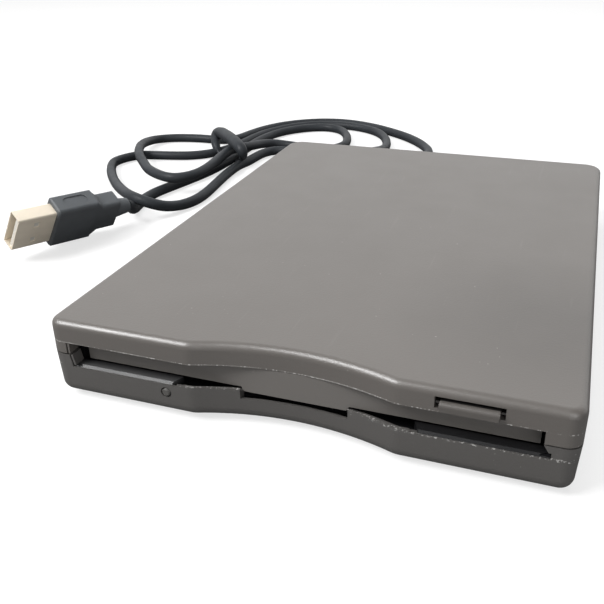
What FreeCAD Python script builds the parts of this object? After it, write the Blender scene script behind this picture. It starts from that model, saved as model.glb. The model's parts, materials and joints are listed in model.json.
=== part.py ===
import FreeCAD, Part
import math
import os

# External floppy disk drive: a slim case in two halves, the sheet-metal drive in it and its fixed
# USB cable. Millimetres. x runs across, y back from the case's front plane, z up from the table.
# Every piece is modelled with y = 0 at the front plane, and save() moves it to the part's own
# frame, whose origin is below the middle of the drive, button included.

V = FreeCAD.Vector

# ---- case ----------------------------------------------------------------------------------------
case_w, case_d, case_top = 103.0, 142.0, 18.0
foot_h = 1.0
wall = 1.6
parting_z = 10.75
parting_gap = 0.3
front_corner_r, back_corner_r = 3.0, 5.0
top_edge_r, bottom_edge_r = 1.5, 2.6
draft_in = 0.5                      # how far the lower walls lean in, from the parting to the floor
wave_half, wave_depth = 20.0, 3.6   # finger recess in the front edge
wave_blend_r = 5.0
floor_z = foot_h + wall
ceiling_z = case_top - wall

# ---- disk slot and what shows in it --------------------------------------------------------------
slot_rim_z, slot_brow_z = 8.2, 13.35
brow_x0, brow_x1 = -47.5, 45.4      # ends of the slot in the upper half
rim_x0, rim_x1 = -46.55, 46.9       # and at its rim in the lower half, whose ends slant
rim_slant_x0, rim_slant_x1 = -47.05, 45.4
cheek_gap, cheek_t = 0.28, 0.4      # of the liner at the slot's left end
cheek_x0, cheek_y0, cheek_y1 = -48.4, 0.15, 2.9
slot_through = 8.0                  # clear of the wall behind the recess
notch_half, notch_z = 10.8, 6.0
rim_skin, rim_step = 0.6, 0.9       # the rim is a thin bead, stepped down behind
lip_top_z, lip_t = 8.1, 0.8
lip_y0, lip_nose = 0.55, 0.65       # front edge of the lips, and the depth of their sloped nose
lip_rim_z = 7.85                    # the rim is lower before the lips
lip_gap = 0.15                      # round the lips, in the case
lip_inner_x, lip_outer_x = 23.1, 46.6
led_x, led_z, led_r = -25.6, 5.95, 1.1

# ---- eject button --------------------------------------------------------------------------------
button_x0, button_x1 = 27.8, 38.0
button_z0, button_z1 = 14.2, 15.85
button_proud = 1.2
button_len = 8.0
window_x0, window_x1, window_z0, window_z1 = 26.9, 38.8, 14.1, 16.4
eject_travel = 6.0
holder_drop = 2.0

# ---- dust flap -----------------------------------------------------------------------------------
flap_half = 44.8
flap_pivot_y, flap_pivot_z = 3.9, 12.6
flap_front, flap_back = 0.3, 0.65   # the panel's faces, measured from the pivot's axis
flap_bottom_z, tab_bottom_z = 8.3, 7.35
flap_pin_r = 0.7
flap_pin_end = 46.6
flap_spring_at = (5.7, 14.05)       # y and z of its arbor

# ---- drive frame ---------------------------------------------------------------------------------
frame_half, frame_wall = 48.0, 1.0
frame_y0, frame_y1 = 5.0, 128.0
base_z0, base_z1 = 3.6, 4.6
frame_top = 15.2
sheet = 0.5

# ---- disk and its holder -------------------------------------------------------------------------
disk_back_y = 98.6                  # of a loaded disk, whose front edge is behind the flap
holder_y0, holder_y1 = 10.5, 91.8
holder_half = 45.8
holder_top_z, holder_lip_z = 12.6, 7.4
holder_lip_w = 4.3
pin_ys = (26.0, 84.0)
pin_z, pin_r = 10.5, 0.9
slot_clear = 0.05

# ---- slider --------------------------------------------------------------------------------------
slider_x0, slider_x1 = 46.1, 46.7
slider_y0, slider_y1 = 14.0, 100.0
skirt_y1 = 93.0
slider_z, slider_t = 13.75, 0.5
slider_skirt_z = 6.6

# ---- shutter lever -------------------------------------------------------------------------------
lever_pivot = (-39.0, 72.4)
lever_pin_at = (-12.0, 66.0)
lever_z, lever_t = 13.15, 0.4
lever_turn = 75.0
lever_pin_r = 1.0

# ---- spindle -------------------------------------------------------------------------------------
spindle_y = 50.0
rotor_r, rotor_top_z, rotor_skirt_z = 19.5, 5.5, 4.0
shaft_r = 1.5
running_gap = 0.04
stator_teeth = 12

# ---- heads ---------------------------------------------------------------------------------------
head_y = 89.5                        # over the outermost track
head_stroke = 14.8                   # 79 steps of 0.1875
rod_x, rod_z, rod_r = 11.0, 4.5, 1.25
arm_pivot_y, arm_pivot_z, arm_pivot_r = 119.0, 10.2, 0.7
arm_lift = math.degrees(0.16)        # how far the arm stands up when no disk is in
screw_x, screw_z, screw_r, journal_r = -20.0, 8.6, 1.5, 1.0

# ---- cable ---------------------------------------------------------------------------------------
cord_d = 3.6
cord_x, cord_z = -32.0, 7.0
relief_len = 12.0
cord_end_y = case_d + relief_len

front_y = -(case_d + button_proud) / 2 + button_proud

# Routes of the free cable, in the part's own frame: out of the strain relief into the hank, and
# from the hank to the plug.
lead_route = [(-32.0, 83.6, 7.0), (-32.0, 88.6, 7.0), (-33.0, 93.4, 6.6), (-35.2, 97.6, 6.1)]
tail_route = [(-88.9, 35.8, 6.0), (-87.4, 30.2, 6.6), (-87.5, 24.5, 6.88), (-89.38, 19.86, 7.26)]
hank_outline = [
    (-99.0, 123.0), (-116.0, 121.5), (-131.5, 118.0), (-134.0, 98.0), (-134.5, 77.0), (-124.0, 57.0),
    (-105.0, 40.0), (-93.0, 33.0), (-82.0, 32.8), (-75.4, 41.0), (-75.2, 56.0), (-76.0, 72.0),
    (-74.0, 88.0), (-62.0, 94.0), (-44.0, 94.8), (-22.0, 97.0), (-9.5, 110.0), (-12.0, 130.0),
    (-27.0, 149.0), (-46.0, 163.5), (-64.0, 167.5), (-82.0, 160.5), (-94.5, 146.0),
]
hank_holes = [
    [(-117.5, 83.5), (-112.5, 73.8), (-96.0, 60.5), (-90.0, 65.5), (-88.3, 74.0), (-89.3, 88.0),
     (-98.0, 90.8), (-108.0, 88.0)],
    [(-126.0, 79.0), (-125.5, 69.5), (-109.0, 51.0), (-96.6, 43.5), (-96.2, 49.5), (-119.5, 72.5)],
    [(-82.5, 116.0), (-82.0, 130.0), (-77.5, 141.0), (-63.5, 149.0), (-53.4, 134.0), (-54.5, 124.0),
     (-60.0, 116.5), (-70.0, 112.6)],
    [(-48.0, 148.0), (-41.0, 145.0), (-36.0, 134.0), (-36.0, 116.0), (-39.0, 105.5), (-58.0, 105.5),
     (-46.6, 122.0), (-46.0, 137.0)],
]
hank_h = 8.0
plug_tip = (-104.3, -16.7, 10.3)     # middle of the plug's open end
plug_turn, plug_dip, plug_lean = 67.8, 4.4, 32.0   # heading from +x, fall, lean from its edge


# ---- shape helpers -------------------------------------------------------------------------------
def block(x0, x1, y0, y1, z0, z1):
    return Part.makeBox(x1 - x0, y1 - y0, z1 - z0, V(x0, y0, z0))


def post(x, y, z0, z1, r):
    return Part.makeCylinder(r, z1 - z0, V(x, y, z0))


def rod_along_x(x0, x1, y, z, r):
    return Part.makeCylinder(r, x1 - x0, V(x0, y, z), V(1, 0, 0))


def rod_along_y(x, y0, y1, z, r):
    return Part.makeCylinder(r, y1 - y0, V(x, y0, z), V(0, 1, 0))


def fuse(shapes):
    first, rest = shapes[0], shapes[1:]
    return first.multiFuse(rest).removeSplitter() if rest else first


def cut(shape, tools):
    return shape.cut(tools).removeSplitter() if tools else shape


def both_sides(shape):
    """The shape and its mirror image in the plane x = 0."""
    return [shape, shape.mirror(V(0, 0, 0), V(1, 0, 0))]


def group(shapes):
    return Part.makeCompound(shapes)


def polygon(points):
    return Part.Face(Part.makePolygon(points + points[:1]))


def plate(points, z0, z1):
    """A flat plate of the outline given by (x, y) points."""
    return polygon([V(x, y, z0) for x, y in points]).extrude(V(0, 0, z1 - z0))


def side_profile(points, x0, x1):
    """A profile given by (y, z) points, extruded across the drive."""
    return polygon([V(x0, y, z) for y, z in points]).extrude(V(x1 - x0, 0, 0))


def front_profile(points, y0, y1):
    """A profile given by (x, z) points, extruded from front to back."""
    return polygon([V(x, y0, z) for x, z in points]).extrude(V(0, y1 - y0, 0))


def capsule(a, b, r, z0, z1):
    """A round-ended bar between two (x, y) points."""
    ax, ay, bx, by = a[0], a[1], b[0], b[1]
    length = math.hypot(bx - ax, by - ay)
    turn = math.degrees(math.atan2(by - ay, bx - ax))
    bar = block(0, length, -r, r, 0, z1 - z0)
    bar.Placement = FreeCAD.Placement(V(ax, ay, z0), FreeCAD.Rotation(V(0, 0, 1), turn))
    return fuse([bar, post(ax, ay, z0, z1, r), post(bx, by, z0, z1, r)])


def round_upright_edges(shape, spots, r):
    """Fillets the upright edges that stand at the given (x, y) spots."""
    picked = []
    for edge in shape.Edges:
        a, b = edge.Vertexes[0].Point, edge.Vertexes[-1].Point
        upright = abs(a.z - b.z) > 0.5 * shape.BoundBox.ZLength
        near = [s for s in spots if math.hypot(a.x - s[0], a.y - s[1]) < 1.2]
        if upright and near:
            picked.append(edge)
    return shape.makeFillet(r, picked)


def edges_at_height(shape, z):
    return [e for e in shape.Edges if max(abs(v.Point.z - z) for v in e.Vertexes) < 1e-4]


def flat_strip(points, thickness, z0, z1):
    """A thin upright band whose middle follows (x, y) points, with its bends rounded."""
    edges = [Part.LineSegment(V(*a, z0), V(*b, z0)).toShape() for a, b in zip(points, points[1:])]
    band = Part.Wire(edges).makeOffset2D(thickness / 2, 0, True, True)
    return band.extrude(V(0, 0, z1 - z0))


# ---- case ----------------------------------------------------------------------------------------
def wave_corner(inset):
    """Half the width of the finger recess where it meets the front edge."""
    radius = (wave_half ** 2 + wave_depth ** 2) / (2 * wave_depth)
    centre_y = wave_depth - radius
    return math.sqrt((radius + inset) ** 2 - (inset - centre_y) ** 2)


def case_outline(inset, z):
    """The case seen from above, drawn in by inset: round corners and the recess in the front."""
    x, y0, y1 = case_w / 2 - inset, inset, case_d - inset
    rf, rb = max(front_corner_r - inset, 0.8), max(back_corner_r - inset, 0.8)
    half = wave_corner(inset)

    def line(x0, ya, x1, yb):
        return Part.LineSegment(V(x0, ya, z), V(x1, yb, z)).toShape()

    def corner(cx, cy, r, start):
        spots = [math.radians(start + turn) for turn in (0, 45, 90)]
        return Part.Arc(*[V(cx + r * math.cos(t), cy + r * math.sin(t), z) for t in spots]).toShape()

    edges = [
        line(-x + rf, y0, -half, y0),
        Part.Arc(V(-half, y0, z), V(0, wave_depth + inset, z), V(half, y0, z)).toShape(),
        line(half, y0, x - rf, y0),
        corner(x - rf, y0 + rf, rf, 270),
        line(x, y0 + rf, x, y1 - rb),
        corner(x - rb, y1 - rb, rb, 0),
        line(x - rb, y1, -x + rb, y1),
        corner(-x + rb, y1 - rb, rb, 90),
        line(-x, y1 - rb, -x, y0 + rf),
        corner(-x + rf, y0 + rf, rf, 180),
    ]
    return Part.Wire(edges)


def case_solid(inset, z0, z1):
    """The case outline as an upright solid, with the recess blended into the front."""
    solid = Part.Face(case_outline(inset, z0)).extrude(V(0, 0, z1 - z0))
    half = wave_corner(inset)
    return round_upright_edges(solid, [(-half, inset), (half, inset)], wave_blend_r)


def left_cheek(top, bottom, z_top):
    """Liner at the slot's left end, a hair clear of the slot's edge, and the wall it stands on.
    The edge runs between two (x, z) spots; the wall behind goes up to z_top."""
    (xt, zt), (xb, zb) = top, bottom
    near, far = cheek_gap, cheek_gap + cheek_t
    liner = [(xt + near, zt), (xt + far, zt), (xb + far, zb), (xb + near, zb)]
    behind = [(cheek_x0, z_top), (xt + far, z_top), (xt + far, zt), (xb + far, zb), (cheek_x0, zb)]
    return fuse([front_profile(liner, cheek_y0, wall + 0.1), front_profile(behind, wall, cheek_y1)])


def right_cheek(edge):
    """Wall behind the slot's right end, whose edge follows (x, z) spots from the top down."""
    shape = [(-cheek_x0, edge[0][1])] + edge + [(-cheek_x0, edge[-1][1])]
    return front_profile(shape, wall, cheek_y1)


def boss_spots():
    return [(-44.5, 135.2), (44.5, 135.2)]


def drive_screw_spots():
    return [(-42.0, 21.0), (42.0, 21.0), (-42.0, 108.0), (42.0, 108.0)]


def make_top_shell():
    z0 = parting_z + parting_gap / 2
    outer = case_solid(0, z0, case_top)
    outer = outer.makeFillet(top_edge_r, edges_at_height(outer, case_top))
    shell = outer.cut(case_solid(wall, z0 - 1, ceiling_z))
    ribs = [block(-49.9, 49.9, y, y + 1.0, ceiling_z - 0.4, ceiling_z) for y in (30.0, 62.0, 116.0)]
    bosses = [post(x, y, z0, ceiling_z, 2.8) for x, y in boss_spots()]
    shell = fuse([shell] + ribs + bosses)
    rebate = case_solid(wall / 2, z0 - 1, z0 + 1.0).cut(case_solid(wall, z0 - 1, z0 + 1.0))
    slot = block(brow_x0, brow_x1, -1, slot_through, z0 - 1, slot_brow_z)
    window = block(window_x0, window_x1, -1, 4, window_z0, window_z1)
    pilots = [post(x, y, z0 - 1, ceiling_z - 1, 0.95) for x, y in boss_spots()]
    shell = cut(shell, [rebate, slot, window] + pilots)
    top = ceiling_z + 0.1
    left = left_cheek((brow_x0, slot_brow_z - 0.15), (brow_x0, z0), top)
    return fuse([shell, left, right_cheek([(brow_x1, top), (brow_x1, z0)])])


def make_bottom_shell():
    z1 = parting_z - parting_gap / 2
    outline = [case_outline(draft_in, foot_h), case_outline(0, z1)]
    outer = Part.makeLoft(outline, True, True)
    half = wave_corner(0)
    outer = round_upright_edges(outer, [(-half, 0), (half, 0)], wave_blend_r)
    outer = outer.makeFillet(bottom_edge_r, edges_at_height(outer, foot_h))
    shell = outer.cut(case_solid(wall + draft_in, floor_z, z1 + 1))
    tongue = case_solid(wall / 2 + 0.1, floor_z + 4, z1 + 1.0)
    tongue = tongue.cut(case_solid(wall, floor_z + 3, z1 + 1.1))
    bosses = [post(x, y, floor_z, z1, 3.4) for x, y in boss_spots()]
    ribs = [block(-49.5, 49.5, y, y + 1.0, floor_z - 0.1, floor_z + 0.8) for y in (86.0, 129.4)]
    rails = both_sides(block(24.0, 25.0, 129.4, 139.9, floor_z - 0.1, 5.2))
    shell = fuse([shell, tongue] + bosses + ribs + rails)

    slot_shape = [(rim_x0, slot_rim_z), (rim_x1, slot_rim_z), (rim_slant_x1, z1), (brow_x1, z1 + 2),
                  (brow_x0, z1 + 2), (brow_x0, z1), (rim_slant_x0, z1)]
    slot = front_profile(slot_shape, -1, slot_through)
    notch = block(-notch_half, notch_half, -1, slot_through, notch_z, slot_rim_z + 1)
    behind_rim = case_solid(rim_skin, slot_rim_z - rim_step, slot_rim_z + 1)
    behind_rim = behind_rim.common(block(-lip_inner_x, lip_inner_x, 0, slot_through, 0, slot_rim_z + 1))
    behind_notch = case_solid(rim_skin + 0.15, notch_z - rim_step, slot_rim_z)
    behind_notch = behind_notch.common(block(-notch_half, notch_half, 0, slot_through, 0, slot_rim_z))
    lip_z, above = lip_top_z - lip_t - lip_gap, slot_rim_z + 1
    lip_room = both_sides(block(lip_inner_x - 0.6, lip_outer_x + 0.5, lip_y0 - 0.1, 3.6, lip_z, above))
    lip_room += both_sides(block(lip_inner_x - lip_gap, lip_outer_x + lip_gap, -1, 1, lip_rim_z, above))
    led_hole = rod_along_y(led_x, -1, 3, led_z, led_r + 0.05)
    feet = [post(x, y, 0, foot_h + 0.6, 4.05) for x, y in foot_spots()]
    heads = [post(x, y, 0, floor_z - 0.5, 2.5) for x, y in drive_screw_spots()]
    shanks = [post(x, y, 0, floor_z + 1, 1.4) for x, y in drive_screw_spots()]
    wells = [post(x, y, 0, 6.0, 2.4) for x, y in boss_spots()]
    wells += [post(x, y, 0, z1 + 1, 1.2) for x, y in boss_spots()]
    grommet = rod_along_y(cord_x, case_d - 5, case_d + 1, cord_z, 2.9)
    tools = [slot, notch, behind_rim, behind_notch, led_hole, grommet]
    shell = cut(shell, tools + lip_room + feet + heads + shanks + wells)
    left = left_cheek((rim_slant_x0, z1), (rim_x0, slot_rim_z + 0.1), z1)
    right = right_cheek([(rim_slant_x1, z1), (rim_x1, slot_rim_z + 0.1)])
    return fuse([shell, left, right])


def foot_spots():
    return [(x, y) for x in (-41.0, 41.0) for y in (11.0, 129.0)]


def make_feet():
    feet = []
    for x, y in foot_spots():
        foot = post(x, y, 0, foot_h + 0.6, 4.0)
        feet.append(foot.makeChamfer(0.4, edges_at_height(foot, 0)))
    return group(feet)


def make_led_lens():
    """Stepped lens that leaves a fine ring open round its front end."""
    lens = rod_along_y(led_x, 0.1, 2.3, led_z, led_r - 0.22)
    lens = lens.makeChamfer(0.25, [e for e in lens.Edges if e.BoundBox.YMax < 0.11])
    return fuse([lens, rod_along_y(led_x, 0.9, 2.3, led_z, led_r)])


# ---- drive frame and cover -----------------------------------------------------------------------
def front_lips():
    """The two lead-in lips under the slot, each on a riser from the base plate."""
    shape = [(lip_y0, lip_top_z - lip_t + 0.1), (lip_y0 + lip_nose, lip_top_z), (3.4, lip_top_z),
             (3.4, base_z0), (2.45, base_z0), (2.45, lip_top_z - lip_t), (lip_y0, lip_top_z - lip_t)]
    lip = side_profile(shape, lip_inner_x, lip_outer_x)
    slant = plate([(lip_inner_x - 1, 0.5), (lip_inner_x + 1.4, 0.5), (lip_inner_x, 3.5),
                   (lip_inner_x - 1, 3.5)], 0, 20)
    facet = plate([(lip_outer_x - 2.6, 0.5), (lip_outer_x + 1, 0.5), (lip_outer_x + 1, 2.6)],
                  lip_top_z - 0.3, 20)
    foot = block(lip_inner_x, lip_outer_x, 3.3, frame_y0 + 0.5, base_z0, base_z1)
    return both_sides(fuse([cut(lip, [slant, facet]), foot]))


def make_drive_frame():
    walls = both_sides(block(frame_half - frame_wall, frame_half, frame_y0, frame_y1, base_z0, frame_top))
    base = block(-frame_half, frame_half, frame_y0, frame_y1, base_z0, base_z1)
    rear = block(-frame_half, frame_half, frame_y1 - 1.2, frame_y1, base_z0, 12.0)
    # Ears that carry the flap's pins, behind the brow of the slot.
    ears = both_sides(block(45.25, 46.9, 3.0, 6.6, 11.65, 14.6))
    ears += both_sides(block(45.25, frame_half, frame_y0, 6.6, 11.65, 14.6))
    arbor = rod_along_x(-45.3, -41.6, *flap_spring_at, 0.45)
    spring_seats = both_sides(block(41.2, frame_half, 118.0, 119.6, base_z0, 12.4))
    feet = [block(x - 3, x + 3, y - 3, y + 3, floor_z, base_z0 + 0.1) for x, y in drive_screw_spots()]
    rod_ends = [block(s * rod_x - 2.2, s * rod_x + 2.2, y, y + 1.8, 2.9, 5.8)
                for s in (-1, 1) for y in (90.4, 122.3)]
    screw_bracket = block(screw_x - 3.6, screw_x + 3.6, disk_back_y + 0.2, 99.6, base_z0, 10.4)
    motor_bracket = block(screw_x - 6.5, screw_x + 5.3, 117.3, 118.3, base_z0, 14.2)
    board_posts = [block(x - 1.5, x + 1.5, y - 1.5, y + 1.5, base_z0, 5.6)
                   for x, y in ((18.0, 104.0), (44.0, 114.0), (18.0, 124.0))]
    frame = fuse([base, rear, screw_bracket, motor_bracket, arbor] + walls + ears + front_lips()
                 + spring_seats + feet + rod_ends + board_posts)

    recess_room = block(-17, 17, frame_y0 - 1, 6.8, base_z0 - 1, base_z1 + 1)
    spindle_hole = post(0, spindle_y, base_z0 - 1, base_z1 + 1, rotor_r + 1.5)
    head_hole = block(-8, 8, spindle_y + 15, 93, base_z0 - 1, base_z1 + 1)
    carriage_hole = block(-16, 16, 92.2, 122.3, base_z0 - 1, base_z1 + 1)
    motor_hole = block(screw_x - 5.6, screw_x + 5.6, 118.3, 126.7, base_z0 - 1, base_z1 + 1)
    lightening = []
    for side in (-1, 1):
        lightening.append(capsule((side * 32, 34), (side * 32, 66), 4.5, base_z0 - 1, base_z1 + 1))
        lightening.append(capsule((side * 31, 84), (side * 38, 84), 4.0, base_z0 - 1, base_z1 + 1))
    pin_slots = []
    for y in pin_ys:
        w = pin_r + slot_clear
        slot = block(frame_half - 3, frame_half + 1, y - w, y + w, pin_z - holder_drop, frame_top + 1)
        end = rod_along_x(frame_half - 3, frame_half + 1, y, pin_z - holder_drop, w)
        pin_slots += both_sides(fuse([slot, end]))
    bores = [rod_along_x(-47.5, 47.5, flap_pivot_y, flap_pivot_z, flap_pin_r + 0.05)]
    bores += [rod_along_y(s * rod_x, 80, 130, rod_z, rod_r) for s in (-1, 1)]
    bores += [rod_along_y(screw_x, 98, 120, screw_z, journal_r + running_gap)]
    bores += [rod_along_y(screw_x, 117, 120, screw_z, screw_r + 0.3)]
    holes = [post(x, y, floor_z - 1, 6, 1.25) for x, y in drive_screw_spots()]
    ribbon_gap = block(20.0, 36.0, frame_y1 - 2, frame_y1 + 1, 6.3, 13)
    tools = [recess_room, spindle_hole, head_hole, carriage_hole, motor_hole, ribbon_gap]
    return cut(frame, tools + lightening + pin_slots + bores + holes)


def make_drive_cover():
    """The thin pressed cover, with folded sides, a window over the heads and stiffening beads."""
    z = frame_top
    x = frame_half + 0.4
    top = block(-x, x, 9.0, 126.0, z, z + 0.4)
    flanges = []
    for y0, y1 in ((9.0, 22.0), (30.0, 80.0), (88.0, 126.0)):
        flanges += both_sides(block(x - 0.35, x, y0, y1, 12.6, z))
    beads = []
    for bead_x in (-30.0, 30.0):
        beads.append(capsule((bead_x, 62.0), (bead_x, 106.0), 3.0, z + 0.4, z + 0.75))
    ring = post(0, spindle_y, z + 0.4, z + 0.75, 17.0).cut(post(0, spindle_y, z, z + 1, 13.5))
    window = plate([(-6.2, 70.5), (6.2, 70.5), (8, 88), (13, 93), (13, 123), (-13, 123), (-13, 93),
                    (-8, 88)], z - 1, z + 2)
    tabs = [block(s * 24 - 5, s * 24 + 5, 8.0, 14.0, z - 1, z + 1) for s in (-1, 1)]
    return cut(fuse([top, ring] + flanges + beads), [window] + tabs)


# ---- flap ----------------------------------------------------------------------------------------
def make_dust_flap():
    """Panel hung at its top edge, with a rounded back at the hinge and a tab in the middle."""
    y0, y1 = flap_pivot_y - flap_front, flap_pivot_y + flap_back
    panel = block(-flap_half, flap_half, y0, y1, flap_bottom_z, flap_pivot_z)
    crown = rod_along_x(-flap_half, flap_half, flap_pivot_y, flap_pivot_z, flap_back)
    crown = crown.common(block(-50, 50, y0, y1 + 1, flap_pivot_z - 1, flap_pivot_z + 2))
    tab_shape = [(-10.9, flap_bottom_z + 0.5), (10.9, flap_bottom_z + 0.5), (10.6, tab_bottom_z + 0.3),
                 (10.2, tab_bottom_z), (-10.2, tab_bottom_z), (-10.6, tab_bottom_z + 0.3)]
    tab = front_profile(tab_shape, y0, y1)
    pins = [rod_along_x(s * flap_half - (flap_pin_end - flap_half) * (s < 0),
                        s * flap_half + (flap_pin_end - flap_half) * (s > 0),
                        flap_pivot_y, flap_pivot_z, flap_pin_r) for s in (-1, 1)]
    return fuse([panel, crown, tab] + pins)


def make_flap_spring():
    """Torsion spring on the arbor behind the brow: wound sleeve, and a leg down the flap's back."""
    y, z = flap_spring_at
    sleeve = rod_along_x(-44.9, -42.0, y, z, 0.78).cut(rod_along_x(-45, -41, y, z, 0.5))
    turns = []
    for turn in range(2):
        x = -44.1 + turn * 0.9
        ring = rod_along_x(x, x + 0.2, y, z, 1).cut(rod_along_x(x, x + 0.2, y, z, 0.66))
        turns.append(ring)
    leg = block(-42.3, -42.0, y - 0.78, y - 0.5, 10.6, z)
    hook = block(-45.25, -44.9, y - 0.2, y + 0.2, z + 0.5, z + 0.78)
    return fuse([cut(sleeve, turns), leg, hook])


# ---- eject mechanism -----------------------------------------------------------------------------
def cam_slot(y):
    """Sloped slot that carries a holder pin down as the slider moves out."""
    r = pin_r + slot_clear
    low_y, low_z = y + eject_travel, pin_z - holder_drop
    rise = math.degrees(math.atan2(-holder_drop, eject_travel))
    bar = block(-0.1, math.hypot(eject_travel, holder_drop) + 0.1, -2, 2, -r, r)
    bar.Placement = FreeCAD.Placement(V(slider_x0 + 0.5, y, pin_z),
                                      FreeCAD.Rotation(V(1, 0, 0), rise) * FreeCAD.Rotation(V(0, 0, 1), 90))
    ends = [rod_along_x(slider_x0 - 2, slider_x1 + 2, a, b, r) for a, b in ((y, pin_z), (low_y, low_z))]
    return fuse([bar] + ends)


def make_eject_slider():
    """Sheet carriage: a cross plate, two rails, and skirts with the cam slots."""
    z0, z1 = slider_z, slider_z + slider_t
    cross = block(-slider_x1, slider_x1, slider_y0, 31.0, z0, z1)
    rails = both_sides(block(42.2, slider_x1, slider_y0, slider_y1, z0, z1))
    skirt_shape = [(slider_y0, z1), (slider_y0, 9.4), (slider_y0 + 4, slider_skirt_z),
                   (skirt_y1 - 4, slider_skirt_z), (skirt_y1, 8.4), (skirt_y1, z1)]
    skirts = both_sides(side_profile(skirt_shape, slider_x0, slider_x1))
    seats = both_sides(block(42.2, slider_x1, slider_y1 - 0.5, slider_y1, 8.4, z1))
    arm = [block(29.0, 36.0, 11.5, slider_y0 + 1, z0, z1), block(29.0, 36.0, 11.5, 12.0, z0, 15.0),
           block(29.0, 36.0, 2.0, 12.0, 14.5, 15.0)]
    slider = fuse([cross] + rails + skirts + seats + arm)
    slots = []
    for y in pin_ys:
        slots += both_sides(cam_slot(y))
    # The skirt is open between its two cam slots, and the cross plate between its arms.
    relief = both_sides(side_profile([(42, 8.0), (44, slider_skirt_z - 1), (72, slider_skirt_z - 1),
                                      (74, 8.0), (72, 12.6), (44, 12.6)], slider_x0 - 1, slider_x1 + 1))
    gap = plate([(-26, 20), (-20, 32), (20, 32), (26, 20), (22, 17.5), (-22, 17.5)], z0 - 1, z1 + 1)
    return cut(slider, slots + relief + [gap])


def make_eject_button():
    """Moulded cap with a crowned front, pushed on to the slider's arm."""
    body = block(button_x0, button_x1, -button_proud, button_len, button_z0, button_z1)
    front = [e for e in body.Edges if e.BoundBox.YMax < -button_proud + 0.01
             and e.BoundBox.XLength > 1 and e.BoundBox.ZMin > button_z1 - 0.01]
    body = body.makeFillet(0.75, front)
    sides = [e for e in body.Edges if e.BoundBox.YMax < 0 and e.BoundBox.XLength < 0.9
             and e.BoundBox.ZLength > 0.5]
    body = body.makeFillet(0.25, sides) if sides else body
    return cut(body, [block(29.0, 36.0, 2.0, button_len + 1, 14.5, 15.0)])


def make_eject_springs():
    """Two compression springs that push the slider out: wound sleeves between seat and slider."""
    springs = []
    for x in (-43.7, 43.7):
        profile = [V(x + 1.0, slider_y1, 10.4)]
        turns, r0, r1 = 5, 1.3, 1.75
        pitch = (118.0 - slider_y1) / turns
        for turn in range(turns):
            y = slider_y1 + turn * pitch
            profile += [V(x + r0, y, 10.4), V(x + r1, y + pitch / 2, 10.4)]
        profile += [V(x + r0, 118.0, 10.4), V(x + 1.0, 118.0, 10.4)]
        springs.append(polygon(profile).revolve(V(x, 0, 10.4), V(0, 1, 0), 360))
    return group(springs)


# ---- disk holder and shutter lever ---------------------------------------------------------------
def lever_arc(r_mid, width, start, end, z0, z1):
    """A curved slot about the lever's pivot."""
    cx, cy = lever_pivot
    ring = post(cx, cy, z0, z1, r_mid + width / 2).cut(post(cx, cy, z0, z1, r_mid - width / 2))
    mid = math.radians((start + end) / 2)
    far = 60.0
    spots = [(cx, cy)]
    for turn in (start, (start + end) / 2, end):
        t = math.radians(turn)
        spots.append((cx + far * math.cos(t), cy + far * math.sin(t)))
    return ring.common(plate(spots, z0, z1))


def lever_reach():
    return math.hypot(lever_pin_at[0] - lever_pivot[0], lever_pin_at[1] - lever_pivot[1])


def lever_start():
    return math.degrees(math.atan2(lever_pin_at[1] - lever_pivot[1], lever_pin_at[0] - lever_pivot[0]))


def make_disk_holder():
    """Folded sheet cage: top, sides, lips under the disk's edges and rails beside the heads."""
    x, z0, z1 = holder_half, holder_lip_z, holder_top_z + sheet
    top = block(-x, x, holder_y0, holder_y1, holder_top_z, z1)
    sides = both_sides(block(x - sheet, x, holder_y0, holder_y1, z0, z1))
    lips = both_sides(plate([(x, 13.0), (x, holder_y1), (x - holder_lip_w, holder_y1),
                             (x - holder_lip_w, 15.5), (x - 2.0, 13.0)], z0, z0 + sheet))
    tail = block(-39.5, 39.5, holder_y1 - 1, 100.0, holder_top_z, z1)
    rails = both_sides(block(9.4, 13.0, 99.0, 110.0, holder_top_z, z1))
    stud = post(lever_pivot[0], lever_pivot[1], z1 - 0.1, 15.0, 1.5)
    holder = fuse([top, tail, stud] + sides + lips + rails)
    head_gap = block(-7.2, 7.2, 70.0, 101.0, z0, z1 + 1)
    pivot_gap = block(-9.4, 9.4, 93.5, 101.0, z0, z1 + 1)
    pin_gap = lever_arc(lever_reach(), 2.7, lever_start() - 4.5, lever_start() + lever_turn + 9, z0 + 3, z1)
    spindle_gap = post(0, spindle_y, z0 + 3, z1 + 1, 11.0)
    fingers = []
    for side in (-1, 1):
        finger_x = side * 27.0
        slit = block(finger_x - 4, finger_x + 4, 20.0, 46.0, z0 + 3, z1 + 1)
        leaf = block(finger_x - 2.8, finger_x + 2.8, 19.0, 44.5, z0 + 3, z1 + 1)
        fingers.append(slit.cut(leaf))
    windows = [capsule((30.0, 62.0), (30.0, 88.0), 5.0, z0 + 3, z1 + 1)]
    entry = both_sides(block(x - sheet - 0.1, x + 1, holder_y0 - 1, 12.0, z0 - 1, 9.0))
    return cut(holder, [head_gap, pivot_gap, pin_gap, spindle_gap] + fingers + windows + entry)


def make_holder_pins():
    """Shouldered pins riveted to the holder's sides; they run in the cam slots."""
    pins = []
    for y in pin_ys:
        pin = fuse([rod_along_x(holder_half, 47.9, y, pin_z, pin_r),
                    rod_along_x(holder_half, holder_half + 0.2, y, pin_z, 1.5)])
        pins += both_sides(pin)
    return group(pins)


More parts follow.
